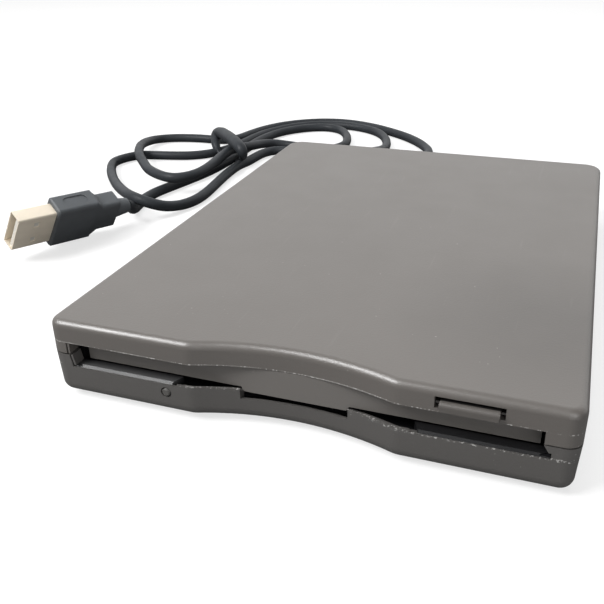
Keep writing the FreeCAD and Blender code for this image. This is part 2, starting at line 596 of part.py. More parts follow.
def make_shutter_lever():
    z0, z1 = lever_z, lever_z + lever_t
    bar = capsule(lever_pivot, lever_pin_at, 2.4, z0, z1)
    eye = post(lever_pivot[0], lever_pivot[1], z0, z1, 3.4)
    tail = capsule(lever_pivot, (lever_pivot[0] + 3.0, lever_pivot[1] - 8.0), 1.6, z0, z1)
    pin = post(lever_pin_at[0], lever_pin_at[1], 9.3, z1, lever_pin_r)
    collar = post(lever_pin_at[0], lever_pin_at[1], 9.3, 10.0, 1.25)
    hole = post(lever_pivot[0], lever_pivot[1], z0 - 1, z1 + 1, 1.5 + running_gap)
    return cut(fuse([bar, eye, tail, pin, collar]), [hole])


def make_lever_spring():
    """Torsion spring on the lever's stud: a wound sleeve and two legs."""
    x, y = lever_pivot
    z = lever_z + lever_t + 0.15
    coil = post(x, y, z, z + 1.15, 2.5).cut(post(x, y, z, z + 1.15, 1.62))
    legs = [block(x + 1.7, x + 2.1, y, y + 5.0, z, z + 0.3),
            block(x - 2.1, x - 1.7, y - 6.0, y, z + 0.8, z + 1.1)]
    return fuse([coil] + legs)


# ---- spindle motor -------------------------------------------------------------------------------
def make_spindle_board():
    outline = [(-30, 24), (30, 24), (33, 27), (33, 66), (24, 76), (12, 80), (-12, 80), (-24, 76),
               (-33, 66), (-33, 27)]
    board = plate(outline, base_z0 - 0.8, base_z0)
    notch = block(-8, 8, 72.0, 81.0, 0, 5)
    return cut(board, [post(0, spindle_y, 0, 5, 3.5), notch])


def make_spindle_bearing():
    sleeve = post(0, spindle_y, base_z0 - 0.8, 4.9, 3.5)
    flange = post(0, spindle_y, base_z0, base_z0 + 0.4, 5.0)
    return cut(fuse([sleeve, flange]), [post(0, spindle_y, 0, 8, shaft_r + running_gap)])


def make_spindle_stator():
    """Wound core: a hub ring, arms that carry the coils, and a shoe at each arm's end."""
    z0, z1 = base_z0, 4.8
    core = post(0, spindle_y, z0 + 0.4, z1 - 0.2, 8.0)
    arms = []
    for tooth in range(stator_teeth):
        turn = 360.0 * tooth / stator_teeth
        arm = block(7.0, 16.2, -0.7, 0.7, z0 + 0.4, z1 - 0.2)
        coil = block(8.6, 14.6, -1.35, 1.35, z0, z1)
        shoe = block(15.6, 17.0, -2.6, 2.6, z0 + 0.4, z1 - 0.2)
        for piece in (arm, coil, shoe):
            piece.rotate(V(0, 0, 0), V(0, 0, 1), turn)
            piece.translate(V(0, spindle_y, 0))
            arms.append(piece)
    stator = fuse([core] + arms)
    return cut(stator, [post(0, spindle_y, 0, 8, 5.2)])


def make_spindle_rotor():
    """Pressed cup with its shaft, turned in one profile."""
    top, under = rotor_top_z, rotor_top_z - 0.4
    profile = [(0, 2.75), (shaft_r, 2.75), (shaft_r, under), (rotor_r - 0.5, under),
               (rotor_r - 0.5, rotor_skirt_z), (rotor_r, rotor_skirt_z), (rotor_r, top - 0.4),
               (rotor_r - 0.4, top), (shaft_r, top), (shaft_r, 7.2), (shaft_r - 0.4, 7.6), (0, 7.6)]
    cup = polygon([V(r, spindle_y, z) for r, z in profile])
    cup = cup.revolve(V(0, spindle_y, 0), V(0, 0, 1), 360)
    slots = []
    for turn in range(3):
        slot = capsule((13.4, 0), (15.2, 0), 0.9, under - 1, top + 1)
        slot.rotate(V(0, 0, 0), V(0, 0, 1), 120.0 * turn + 30)
        slot.translate(V(0, spindle_y, 0))
        slots.append(slot)
    return cut(cup, slots)


def make_rotor_magnet():
    outer, inner = rotor_r - 0.5, rotor_r - 1.9
    ring = post(0, spindle_y, rotor_skirt_z, rotor_top_z - 0.4, outer)
    return ring.cut(post(0, spindle_y, 0, 8, inner))


def make_spindle_hub():
    """Chucking plate on top of the rotor, with a slot for the drive pin."""
    plate_z0, plate_z1 = rotor_top_z, rotor_top_z + 0.35
    disc = post(0, spindle_y, plate_z0, plate_z1, 11.6)
    disc = disc.makeChamfer(0.15, edges_at_height(disc, plate_z1))
    pin_hole = capsule((7.8, spindle_y - 1.2), (7.8, spindle_y + 1.2), 1.5, 0, 9)
    return cut(disc, [post(0, spindle_y, 0, 9, shaft_r), pin_hole])


def make_drive_pin():
    pin = post(7.8, spindle_y, rotor_top_z, 6.9, 1.1)
    return pin.makeChamfer(0.3, edges_at_height(pin, 6.9))


# ---- heads ---------------------------------------------------------------------------------------
def make_head_carriage():
    nose = block(-6, 6, head_y - 4, 112, 4.9, 5.7)
    ribs = both_sides(block(5.0, 6.0, head_y - 1, 112, 3.9, 5.7))
    wings = block(-14, 14, 108, 121, 2.95, 5.85)
    tower_shape = [(113.4, 5.8), (121, 5.8), (121, 11.2), (119.8, 11.6), (118.2, 11.6), (114.6, 8.4)]
    tower = side_profile(tower_shape, -5.5, 5.5)
    arm = block(-17.6, -5.0, 114.6, 117.0, 5.6, 7.0)
    flag = block(-0.25, 0.25, 120.5, 124.6, 6.2, 8.6)
    carriage = fuse([nose, wings, tower, arm, flag] + ribs)
    bores = [rod_along_y(s * rod_x, 107, 122, rod_z, rod_r + running_gap) for s in (-1, 1)]
    pivot = rod_along_x(-6, 6, arm_pivot_y, arm_pivot_z, arm_pivot_r)
    hollow = both_sides(block(3.0, 8.0, 110.0, 112.8, 2.0, 4.9))
    return cut(carriage, bores + [pivot] + hollow)


def make_lower_head():
    """Slider of the fixed head, standing on the carriage's nose."""
    pad = block(-2.5, 2.5, head_y - 3, head_y + 3, 5.7, 6.5)
    tip = block(-1.6, 1.6, head_y - 2, head_y + 2, 6.5, 7.6)
    tip = tip.makeFillet(0.3, edges_at_height(tip, 7.6))
    return fuse([pad, tip])


def make_carriage_follower():
    """Half nut that rides in the screw's groove."""
    nut = block(screw_x - 2.6, screw_x + 2.6, 114.6, 117.0, 5.6, screw_z)
    nut = nut.cut(block(-17.6, 0, 114, 118, 5, 7.0))
    return cut(nut, [rod_along_y(screw_x, 114, 118, screw_z, screw_r + 0.1)])


def arm_pose(shape):
    """Stands a piece of the arm up about its pivot, from lying on the disk to its place at rest."""
    shape.rotate(V(0, arm_pivot_y, arm_pivot_z), V(1, 0, 0), -arm_lift)
    return shape


def make_upper_arm():
    z0, z1 = 9.85, 10.55
    beam = plate([(-4, 86.7), (4, 86.7), (5, 95), (5, 112.6), (-5, 112.6), (-5, 95)], z0, z1)
    yoke = block(-6.6, 6.6, 110.6, 112.6, z0, z1)
    clevis = both_sides(side_profile([(110.6, z0), (119, 9.2), (120.2, 9.6), (120.2, 11), (119, 11.3),
                                      (110.6, z1)], 5.8, 6.6))
    lift_bar = rod_along_x(-12.0, 12.0, arm_pivot_y - 12.66, 11.75, 0.6)
    bracket = block(-4, 4, arm_pivot_y - 13.2, arm_pivot_y - 12.1, z1 - 0.1, 11.75)
    bead = capsule((0, 92), (0, 104), 1.6, z1 - 0.1, z1 + 0.3)
    arm = fuse([beam, yoke, lift_bar, bracket, bead] + clevis)
    bore = rod_along_x(-8, 8, arm_pivot_y, arm_pivot_z, arm_pivot_r + running_gap)
    return arm_pose(cut(arm, [bore]))


def make_upper_head():
    pad = block(-2.5, 2.5, head_y - 2.6, head_y + 2.6, 9.2, 9.85)
    tip = block(-1.6, 1.6, head_y - 2, head_y + 2, 7.95, 9.2)
    tip = tip.makeFillet(0.3, edges_at_height(tip, 7.95))
    return arm_pose(fuse([pad, tip]))


def make_arm_pivot():
    return rod_along_x(-8.6, 8.6, arm_pivot_y, arm_pivot_z, arm_pivot_r)


def make_arm_spring():
    """Torsion spring that presses the arm down: wound sleeve on the pivot and a leg."""
    coil = rod_along_x(6.8, 8.4, arm_pivot_y, arm_pivot_z, 1.5)
    coil = coil.cut(rod_along_x(6, 9, arm_pivot_y, arm_pivot_z, 0.8))
    leg = block(6.8, 7.1, 112.0, arm_pivot_y, arm_pivot_z + 1.15, arm_pivot_z + 1.45)
    leg.rotate(V(0, arm_pivot_y, arm_pivot_z), V(1, 0, 0), -arm_lift)
    return fuse([coil, leg])


def make_guide_rods():
    return group([rod_along_y(s * rod_x, 90.4, 124.1, rod_z, rod_r) for s in (-1, 1)])


def make_lead_screw():
    thread = rod_along_y(screw_x, 99.7, 117.1, screw_z, screw_r)
    thread = thread.makeChamfer(0.25, [e for e in thread.Edges if e.BoundBox.YLength < 0.01])
    journal = rod_along_y(screw_x, disk_back_y + 0.2, 119.0, screw_z, journal_r)
    return fuse([thread, journal])


def make_stepper_motor():
    """Small can stepper: two ribbed halves, a front boss and the terminal block."""
    r = 5.1
    can = rod_along_y(screw_x, 118.3, 126.6, screw_z, r)
    grooves = [rod_along_y(screw_x, y, y + 0.4, screw_z, r + 1).cut(
        rod_along_y(screw_x, y, y + 0.4, screw_z, r - 0.3)) for y in (122.2,)]
    terminals = block(screw_x - 3.4, screw_x + 3.4, 120.0, 125.0, screw_z + 2.0, screw_z + 5.6)
    bore = rod_along_y(screw_x, 118, 119.3, screw_z, journal_r + running_gap)
    return cut(fuse([cut(can, grooves), terminals]), [bore])


# ---- electronics ---------------------------------------------------------------------------------
def chip(x, y, z, w, d, h):
    """A moulded circuit with its row of legs on two sides."""
    body = block(x - w / 2, x + w / 2, y - d / 2, y + d / 2, z + 0.1, z + h)
    legs = []
    count = int(w / 1.2)
    for k in range(count):
        leg_x = x - w / 2 + (k + 0.5) * w / count
        legs.append(block(leg_x - 0.2, leg_x + 0.2, y - d / 2 - 0.8, y + d / 2 + 0.8, z, z + 0.3))
    return fuse([body] + legs)


def make_control_board():
    outline = [(15.5, 101), (38, 101), (38, 103), (46.5, 111), (46.5, 117), (40.5, 117), (40.5, 126),
               (15.5, 126)]
    return cut(plate(outline, 5.6, 6.4), [post(x, y, 5, 7, 0.9) for x, y in ((18, 104), (18, 124))])


def make_control_chips():
    connector = block(21, 35, 122.5, 125.8, 6.4, 8.4)
    caps = [block(x, x + 1.6, 103.0, 104.0, 6.4, 7.2) for x in (22.0, 25.0, 28.0, 31.0)]
    return group([chip(28, 112.5, 6.4, 9, 7, 1.6), chip(19.0, 116.5, 6.4, 4.0, 4.0, 1.2), connector] + caps)


def make_usb_board():
    return plate([(-40.5, 130.6), (35.5, 130.6), (35.5, 138.4), (-40.5, 138.4)], 5.2, 6.0)


def make_usb_chips():
    crystal = capsule((6, 134), (12, 134), 1.8, 6.0, 8.6)
    ribbon_socket = block(21, 34, 131.0, 133.4, 6.0, 7.8)
    cord_socket = block(-26, -16, 131.2, 135.6, 6.0, 10.5)
    return group([chip(-6, 135.2, 6.0, 8, 5, 1.4), crystal, ribbon_socket, cord_socket])


def make_board_ribbon():
    """Flat cable from the drive's board over to the interface board."""
    path = [(125.8, 7.2), (126.4, 7.2), (128.6, 9.6), (130.0, 9.6), (131.0, 7.2), (131.0, 6.9),
            (130.7, 6.9), (130.7, 7.1), (129.8, 9.3), (128.8, 9.3), (126.6, 6.9), (125.8, 6.9)]
    return side_profile(path, 22.0, 33.0)


def make_head_flex():
    """Flexible print from the heads to the board, standing in one loop beside the carriage."""
    points = [(5.6, 112.0), (8.4, 112.0), (10.2, 109.6), (12.4, 108.4), (14.6, 109.6), (15.4, 112.0),
              (17.0, 112.4)]
    return flat_strip(points, 0.2, 6.4, 8.6)


def make_disk_switches():
    """Density, write-protect and disk-in switches on the base plate."""
    switches = []
    for x, y in ((-37.4, 14.5), (37.4, 14.5), (-30.6, 14.5)):
        body = block(x - 2.4, x + 2.4, y - 2, y + 2, base_z1, 6.4)
        plunger = block(x - 0.8, x + 0.8, y - 0.6, y + 0.6, 6.3, 7.2)
        switches.append(fuse([body, plunger]))
    return group(switches)


def make_track_sensor():
    """Light gate that the carriage's flag enters at the outermost track."""
    body = block(-2.6, 2.6, 122.4, 126.4, base_z1, 9.4)
    return cut(body, [block(-0.7, 0.7, 122, 125.6, 5.6, 10)])


# ---- cable ---------------------------------------------------------------------------------------
def make_strain_relief():
    """Grommet clamped in the back wall, with a ribbed taper outside."""
    y_wall = case_d - wall - draft_in
    flange = block(cord_x - 4.2, cord_x + 4.2, y_wall - 1.2, y_wall - 0.05, cord_z - 3.6, cord_z + 3.4)
    profile = [(0, y_wall - 0.5), (2.8, y_wall - 0.5), (2.8, case_d), (3.3, case_d + 0.05),
               (3.3, case_d + 1.6)]
    ribs = 3
    pitch = (relief_len - 2.4) / ribs
    for rib in range(ribs):
        y = case_d + 1.6 + rib * pitch
        r = 3.2 - 0.3 * rib
        profile += [(r - 0.55, y + 0.3), (r - 0.55, y + 0.9), (r, y + 1.2)]
    profile += [(2.05, cord_end_y), (0, cord_end_y)]
    taper = polygon([V(cord_x + r, y, cord_z) for r, y in profile])
    return fuse([flange, taper.revolve(V(cord_x, 0, cord_z), V(0, 1, 0), 360)])


def bend(before, here, after):
    """Start, middle and end of the arc that joins two straight runs, and its radius."""
    a, b = here - before, after - here
    turn = a.getAngle(b)
    reach = 0.45 * min(a.Length, b.Length)
    radius = reach / math.tan(turn / 2)
    start, end = here - a.normalize() * reach, here + b.normalize() * reach
    inward = (b - a).normalize()
    middle = here + inward * (radius / math.cos(turn / 2) - radius)
    return start, middle, end, radius


def tube_along(route, diameter, name):
    """Round tube along straight runs joined by tangent arcs; prints the arcs' radii."""
    spots = [V(*p) - V(0, front_y, 0) for p in route]
    edges, radii, at = [], [], spots[0]
    for corner in zip(spots, spots[1:], spots[2:]):
        start, middle, end, radius = bend(*corner)
        edges += [Part.LineSegment(at, start).toShape(), Part.Arc(start, middle, end).toShape()]
        radii.append(round(radius, 1))
        at = end
    edges.append(Part.LineSegment(at, spots[-1]).toShape())
    path = Part.Wire(edges)
    section = Part.Wire(Part.makeCircle(diameter / 2, spots[0], spots[1] - spots[0]))
    tube = path.makePipeShell([section], True, False)
    share = tube.Volume / (math.pi * diameter ** 2 / 4 * path.Length)
    print(name, "arc radii", radii, "length", round(path.Length, 1), "volume share", round(share, 3))
    return tube


def rounded_slab(points, z0, z1):
    """A slab whose outline runs straight between (x, y) points and bends in arcs at each."""
    spots = [V(x, y - front_y, z0) for x, y in points]
    bends = [bend(*corner) for corner in zip(spots[-1:] + spots, spots, spots[1:] + spots[:1])]
    edges = []
    for here, following in zip(bends, bends[1:] + bends[:1]):
        edges += [Part.Arc(*here[:3]).toShape(), Part.LineSegment(here[2], following[0]).toShape()]
    return Part.Face(Part.Wire(edges)).extrude(V(0, 0, z1 - z0))


def make_cord_hank():
    """Outer shape of the folded cable: two flat lobes of loops, gathered at the waist."""
    slab = rounded_slab(hank_outline, 0.05, hank_h)
    return cut(slab, [rounded_slab(hole, -1, hank_h + 1) for hole in hank_holes])


# Plug pieces are made with x along the plug from its open end, z across its broad face and y
# through its thickness, and then stood at the plug's place.
plug_metal_len, plug_metal_w, plug_metal_t, plug_sheet = 12.0, 12.0, 4.5, 0.3
grip_w, grip_t, grip_len = 15.0, 6.8, 13.4
neck_w, neck_t, neck_end = 10.6, 6.2, 34.6


def at_plug(shape):
    tip = V(*plug_tip) - V(0, front_y, 0)
    lean = FreeCAD.Rotation(V(1, 0, 0), plug_lean)
    dip = FreeCAD.Rotation(V(0, 1, 0), plug_dip)
    turn = FreeCAD.Rotation(V(0, 0, 1), plug_turn)
    shape.Placement = FreeCAD.Placement(tip, turn * dip * lean)
    return shape


def make_plug_shell():
    """Folded metal sleeve of the plug, with its latch windows."""
    w, t, s = plug_metal_w / 2, plug_metal_t / 2, plug_sheet
    sleeve = block(0, plug_metal_len + 3, -t, t, -w, w)
    sleeve = sleeve.makeFillet(0.5, [e for e in sleeve.Edges if e.BoundBox.XLength > 1])
    bore = block(-1, plug_metal_len + 4, -t + s, t - s, -w + s, w - s)
    windows = [block(5.2, 7.0, -t - 1, t + 1, z - 1.0, z + 1.0) for z in (-3.0, 3.0)]
    shell = cut(sleeve, [bore] + windows)
    return at_plug(shell)


def make_plug_tongue():
    t = plug_metal_t / 2 - plug_sheet
    w = plug_metal_w / 2 - plug_sheet
    return at_plug(block(0.6, plug_metal_len + 2.5, -t, -0.1, -w, w))


def make_plug_contacts():
    strips = []
    for k, z in enumerate((-3.5, -1.0, 1.0, 3.5)):
        start = 1.6 if k in (0, 3) else 2.6
        strips.append(block(start, plug_metal_len, -0.1, 0.1, z - 0.5, z + 0.5))
    return at_plug(group(strips))


def make_plug_overmould():
    """Grip of the plug: a broad block, a shoulder and a neck that tapers to the cable."""
    x0 = plug_metal_len
    grip = block(x0, x0 + grip_len, -grip_t / 2, grip_t / 2, -grip_w / 2, grip_w / 2)
    grip = grip.makeFillet(1.1, [e for e in grip.Edges if e.BoundBox.XLength > 1])
    grip = grip.makeChamfer(0.4, [e for e in grip.Edges if e.BoundBox.XMax < x0 + 0.01])

    def section(x, w, t, r):
        face = block(x, x + 1, -t / 2, t / 2, -w / 2, w / 2)
        face = face.makeFillet(r, [e for e in face.Edges if e.BoundBox.XLength > 0.9])
        flat = [f for f in face.Faces if f.BoundBox.XMax < x + 0.01]
        return flat[0].OuterWire

    end = x0 + grip_len
    shoulder = Part.makeLoft([section(end, grip_w - 0.4, grip_t - 0.4, 1.0),
                              section(end + 2.4, neck_w, neck_t, 1.2)], True, True)
    neck = block(end + 2.4, neck_end - 0.6, -neck_t / 2, neck_t / 2, -neck_w / 2, neck_w / 2)
    neck = neck.makeFillet(1.2, [e for e in neck.Edges if e.BoundBox.XLength > 1])
    sleeve = Part.makeCone(3.1, 2.3, 39.6 - neck_end + 0.8, V(neck_end - 0.8, 0, 0), V(1, 0, 0))
    grips = []
    for side in (-1, 1):
        pad = capsule((x0 + 4.8, 0), (x0 + 9.2, 0), 1.7, 0, 0.5)
        pad.Placement = FreeCAD.Placement(V(0, 0, side * grip_w / 2 - 0.25), FreeCAD.Rotation())
        grips.append(pad)
    body = cut(fuse([grip, shoulder, neck, sleeve]), grips)
    core = block(x0 - 1, x0 + 3, -plug_metal_t / 2, plug_metal_t / 2, -plug_metal_w / 2, plug_metal_w / 2)
    core = core.makeFillet(0.5, [e for e in core.Edges if e.BoundBox.XLength > 1])
    return at_plug(cut(body, [core]))


# ---- all pieces ----------------------------------------------------------------------------------
def save(name, shape):
    """Writes one piece in the part's own frame."""
    placed = shape.copy()
    placed.translate(V(0, front_y, 0))
    solids = placed.Solids
    if not solids or not all(s.isValid() for s in solids):
        print("CHECK", name, "has", len(solids), "solids, valid", [s.isValid() for s in solids])
    placed = solids[0] if len(solids) == 1 else Part.makeCompound(solids)
    placed.exportStep("parts/" + name + ".step")


def build():
    os.makedirs("parts", exist_ok=True)
    pieces = {
        "top_shell": make_top_shell, "bottom_shell": make_bottom_shell, "rubber_feet": make_feet,
        "led_lens": make_led_lens,
        "drive_frame": make_drive_frame, "drive_cover": make_drive_cover,
        "dust_flap": make_dust_flap, "flap_spring": make_flap_spring,
        "eject_button": make_eject_button, "eject_slider": make_eject_slider,
        "eject_springs": make_eject_springs,
        "disk_holder": make_disk_holder, "holder_pins": make_holder_pins,
        "shutter_lever": make_shutter_lever, "lever_spring": make_lever_spring,
        "spindle_board": make_spindle_board, "spindle_bearing": make_spindle_bearing,
        "spindle_stator": make_spindle_stator, "spindle_rotor": make_spindle_rotor,
        "rotor_magnet": make_rotor_magnet, "spindle_hub": make_spindle_hub, "drive_pin": make_drive_pin,
        "head_carriage": make_head_carriage, "lower_head": make_lower_head,
        "carriage_follower": make_carriage_follower, "arm_pivot": make_arm_pivot,
        "upper_arm": make_upper_arm, "upper_head": make_upper_head, "arm_spring": make_arm_spring,
        "guide_rods": make_guide_rods, "lead_screw": make_lead_screw,
        "stepper_motor": make_stepper_motor,
        "control_board": make_control_board, "control_chips": make_control_chips,
        "usb_board": make_usb_board, "usb_chips": make_usb_chips, "board_ribbon": make_board_ribbon,
        "head_flex": make_head_flex, "disk_switches": make_disk_switches,
        "track_sensor": make_track_sensor,
        "strain_relief": make_strain_relief, "usb_cord_hank": make_cord_hank,
        "plug_shell": make_plug_shell, "plug_tongue": make_plug_tongue,
        "plug_contacts": make_plug_contacts, "plug_overmould": make_plug_overmould,
    }
    for name, make in pieces.items():
        save(name, make())
    save("usb_cord_lead", tube_along(lead_route, cord_d, "lead"))
    save("usb_cord_tail", tube_along(tail_route, cord_d, "tail"))


build()
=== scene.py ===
import json
import math

import bpy
from mathutils import Matrix, Vector


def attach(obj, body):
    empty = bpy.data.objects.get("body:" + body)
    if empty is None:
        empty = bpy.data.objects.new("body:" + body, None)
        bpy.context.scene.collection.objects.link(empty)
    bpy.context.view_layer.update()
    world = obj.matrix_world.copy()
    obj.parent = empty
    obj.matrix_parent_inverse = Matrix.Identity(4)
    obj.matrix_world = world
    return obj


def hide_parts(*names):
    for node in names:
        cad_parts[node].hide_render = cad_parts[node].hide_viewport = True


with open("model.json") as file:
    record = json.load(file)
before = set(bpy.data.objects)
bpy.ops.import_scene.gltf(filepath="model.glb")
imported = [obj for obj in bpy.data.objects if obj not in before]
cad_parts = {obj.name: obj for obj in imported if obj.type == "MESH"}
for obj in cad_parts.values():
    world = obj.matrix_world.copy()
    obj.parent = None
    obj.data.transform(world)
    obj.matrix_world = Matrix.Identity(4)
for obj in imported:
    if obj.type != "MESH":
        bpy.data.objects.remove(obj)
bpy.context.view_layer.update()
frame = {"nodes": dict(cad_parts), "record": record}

mm = 0.001


# small helpers for node trees
def addNode(tree, kind, **settings):
    made = tree.nodes.new(kind)
    for name, value in settings.items():
        setattr(made, name, value)
    return made


def setInputs(made, **values):
    # underscores stand for the spaces in a socket's name
    for name, value in values.items():
        made.inputs[name.replace("_", " ")].default_value = value
    return made


def blendColour(tree, factor, first, second):
    mix = addNode(tree, "ShaderNodeMix", data_type="RGBA")
    for index, value in ((0, factor), (6, first), (7, second)):
        if isinstance(value, bpy.types.NodeSocket):
            tree.links.new(value, mix.inputs[index])
        else:
            mix.inputs[index].default_value = value
    return mix.outputs[2]


def placeOn(tree, stretch=(1, 1, 1), shift=(0, 0, 0)):
    # where on the piece a pattern lies: Object coordinates, stretched, and shifted by so many mm
    coords = addNode(tree, "ShaderNodeTexCoord")
    mapping = addNode(tree, "ShaderNodeMapping")
    setInputs(mapping, Scale=stretch, Location=[-by * mm * s for by, s in zip(shift, stretch)])
    tree.links.new(coords.outputs["Object"], mapping.inputs["Vector"])
    return mapping.outputs["Vector"]


noiseSpan = (0.3, 0.7)   # between these lies most of a noise


def noise(tree, vector, size, detail):
    # patches of about a size in mm; more detail breaks them up
    made = addNode(tree, "ShaderNodeTexNoise")
    setInputs(made, Scale=1 / (size * mm), Detail=detail)
    tree.links.new(vector, made.inputs["Vector"])
    return made.outputs["Fac"]


def remap(tree, value, low, high, newLow=0.0, newHigh=1.0):
    made = addNode(tree, "ShaderNodeMapRange")
    setInputs(made, From_Min=low, From_Max=high, To_Min=newLow, To_Max=newHigh)
    tree.links.new(value, made.inputs["Value"])
    return made.outputs["Result"]


def product(tree, first, second):
    made = addNode(tree, "ShaderNodeMath", operation="MULTIPLY")
    tree.links.new(first, made.inputs[0])
    tree.links.new(second, made.inputs[1])
    return made.outputs[0]


def alongAxis(tree, axis):
    coords = addNode(tree, "ShaderNodeTexCoord")
    parts = addNode(tree, "ShaderNodeSeparateXYZ")
    tree.links.new(coords.outputs["Object"], parts.inputs[0])
    return parts.outputs[axis]


def fadeAlong(tree, axis, ends, first, last):
    # runs from one value to another between two places on an axis, in mm
    return remap(tree, alongAxis(tree, axis), ends[0] * mm, ends[1] * mm, first, last)


def nearHeight(tree, height, reach):
    # 1 at a height in mm, falling to 0 at reach above and below
    away = addNode(tree, "ShaderNodeMath", operation="SUBTRACT")
    away.inputs[1].default_value = height * mm
    tree.links.new(alongAxis(tree, "Z"), away.inputs[0])
    size = addNode(tree, "ShaderNodeMath", operation="ABSOLUTE")
    tree.links.new(away.outputs[0], size.inputs[0])
    return remap(tree, size.outputs[0], 0.0, reach * mm, 1.0, 0.0)


def addBump(tree, shader, height, strength, depth):
    bump = addNode(tree, "ShaderNodeBump")
    setInputs(bump, Strength=strength, Distance=depth * mm)
    tree.links.new(height, bump.inputs["Height"])
    tree.links.new(bump.outputs["Normal"], shader.inputs["Normal"])


def shade(colour, times):
    return (colour[0] * times, colour[1] * times, colour[2] * times, 1.0)


# finishes: colour, roughness from and to, metal, gloss, how strong and large the patches of tone are,
# size and depth of the surface's grain, and wear and painted light. Sizes in mm, colours linear.
finishes = {
    # the edge specks on the shells include a painted highlight along the brow
    "case_plastic": dict(colour=(0.100, 0.091, 0.083), rough=(0.38, 0.42), gloss=1.0,
                         tone=0.015, toneSize=30, grain=0.38, depth=0.06,
                         dust=0.55, scuffs=0.05, smudge=0.28, edgeSpecksAndHighlight=0.8),
    # painted shade: a darker copy of the case plastic for the bottom shell, whose lower front falls in
    # shade
    "shaded_case_plastic": dict(colour=(0.078, 0.074, 0.070), rough=(0.38, 0.42), gloss=1.0,
                         tone=0.015, toneSize=30, grain=0.38, depth=0.06,
                         dust=0.55, scuffs=0.05, edgeSpecksAndHighlight=0.8),
    # the button's plastic carries painted shade where it goes into its window
    "button_plastic": dict(colour=(0.082, 0.075, 0.069), rough=(0.38, 0.42), tone=0.05, toneSize=10,
                           grain=0.38, depth=0.06, dust=0.55, scuffs=0.05, gloss=0.7,
                           paintedGapShade=0.97),
    "flap_plastic": dict(colour=(0.125, 0.117, 0.109), rough=(0.36, 0.44), gloss=0.8,
                         tone=0.03, toneSize=20, grain=0.26, depth=0.012, scuffs=0.05),
    # the frame carries a painted highlight on the front of the left lip
    "frame_metal": dict(colour=(0.009, 0.009, 0.010), rough=(0.38, 0.46), tone=0.10, toneSize=12,
                        grain=0.45, depth=0.02, gloss=0.35, paintedLipHighlight=0.26),
    "sheet_steel": dict(colour=(0.62, 0.615, 0.60), rough=(0.26, 0.42), metal=1.0,
                        tone=0.08, toneSize=6, grain=0.4, depth=0.003, stretch=(1, 0.08, 1)),
    "pin_steel": dict(colour=(0.72, 0.72, 0.71), rough=(0.16, 0.26), metal=1.0, tone=0.05, toneSize=4,
                      grain=0.3, depth=0.002, stretch=(1, 1, 0.2)),
    "spring_steel": dict(colour=(0.50, 0.50, 0.51), rough=(0.24, 0.36), metal=1.0,
                         tone=0.08, toneSize=3, grain=0.3, depth=0.002),
    "brass": dict(colour=(0.70, 0.53, 0.25), rough=(0.22, 0.36), metal=1.0, tone=0.08, toneSize=3,
                  grain=0.3, depth=0.002),
    "magnet": dict(colour=(0.085, 0.083, 0.080), rough=(0.55, 0.72), tone=0.15, toneSize=2,
                   grain=0.3, depth=0.01),
    "copper_coil": dict(colour=(0.58, 0.27, 0.11), rough=(0.24, 0.34), metal=1.0, tone=0.12, toneSize=2,
                        grain=0.4, depth=0.003),
    "board_green": dict(colour=(0.022, 0.155, 0.075), rough=(0.20, 0.32), tone=0.10, toneSize=5,
                        grain=0.6, depth=0.003),
    "chip_plastic": dict(colour=(0.035, 0.035, 0.037), rough=(0.42, 0.55), tone=0.1, toneSize=3,
                         grain=0.2, depth=0.006),
    "flex_film": dict(colour=(0.40, 0.20, 0.045), rough=(0.20, 0.30), tone=0.08, toneSize=4,
                      grain=0.8, depth=0.002),
    "carriage_plastic": dict(colour=(0.075, 0.075, 0.082), rough=(0.48, 0.60), tone=0.08, toneSize=4,
                             grain=0.2, depth=0.008),
    "head_ceramic": dict(colour=(0.74, 0.71, 0.66), rough=(0.12, 0.20), tone=0.04, toneSize=2,
                         grain=0.5, depth=0.001),
    "lens": dict(colour=(0.085, 0.082, 0.078), rough=(0.46, 0.52), gloss=0.25, tone=0.05, toneSize=1,
                 grain=0.5, depth=0.001),
    "foot_rubber": dict(colour=(0.040, 0.040, 0.042), rough=(0.68, 0.82), tone=0.12, toneSize=2,
                        grain=0.3, depth=0.02),
    "cord_rubber": dict(colour=(0.028, 0.031, 0.035), rough=(0.46, 0.54), gloss=0.2,
                        tone=0.12, toneSize=10, grain=0.4, depth=0.01, dust=0.10),
    "plug_rubber": dict(colour=(0.088, 0.095, 0.102), rough=(0.50, 0.58), gloss=0.3,
                        tone=0.10, toneSize=8, grain=0.4, depth=0.01),
    "plug_metal": dict(colour=(0.76, 0.68, 0.56), rough=(0.48, 0.56), metal=0.20, tone=0.06, toneSize=4,
                       grain=0.4, depth=0.003, stretch=(1, 0.3, 1)),
    "plug_white": dict(colour=(0.60, 0.57, 0.51), rough=(0.36, 0.46), tone=0.03, toneSize=4,
                       grain=0.3, depth=0.004),
    "contact_gold": dict(colour=(0.83, 0.62, 0.26), rough=(0.16, 0.26), metal=1.0,
                         tone=0.05, toneSize=2, grain=0.3, depth=0.001),
}
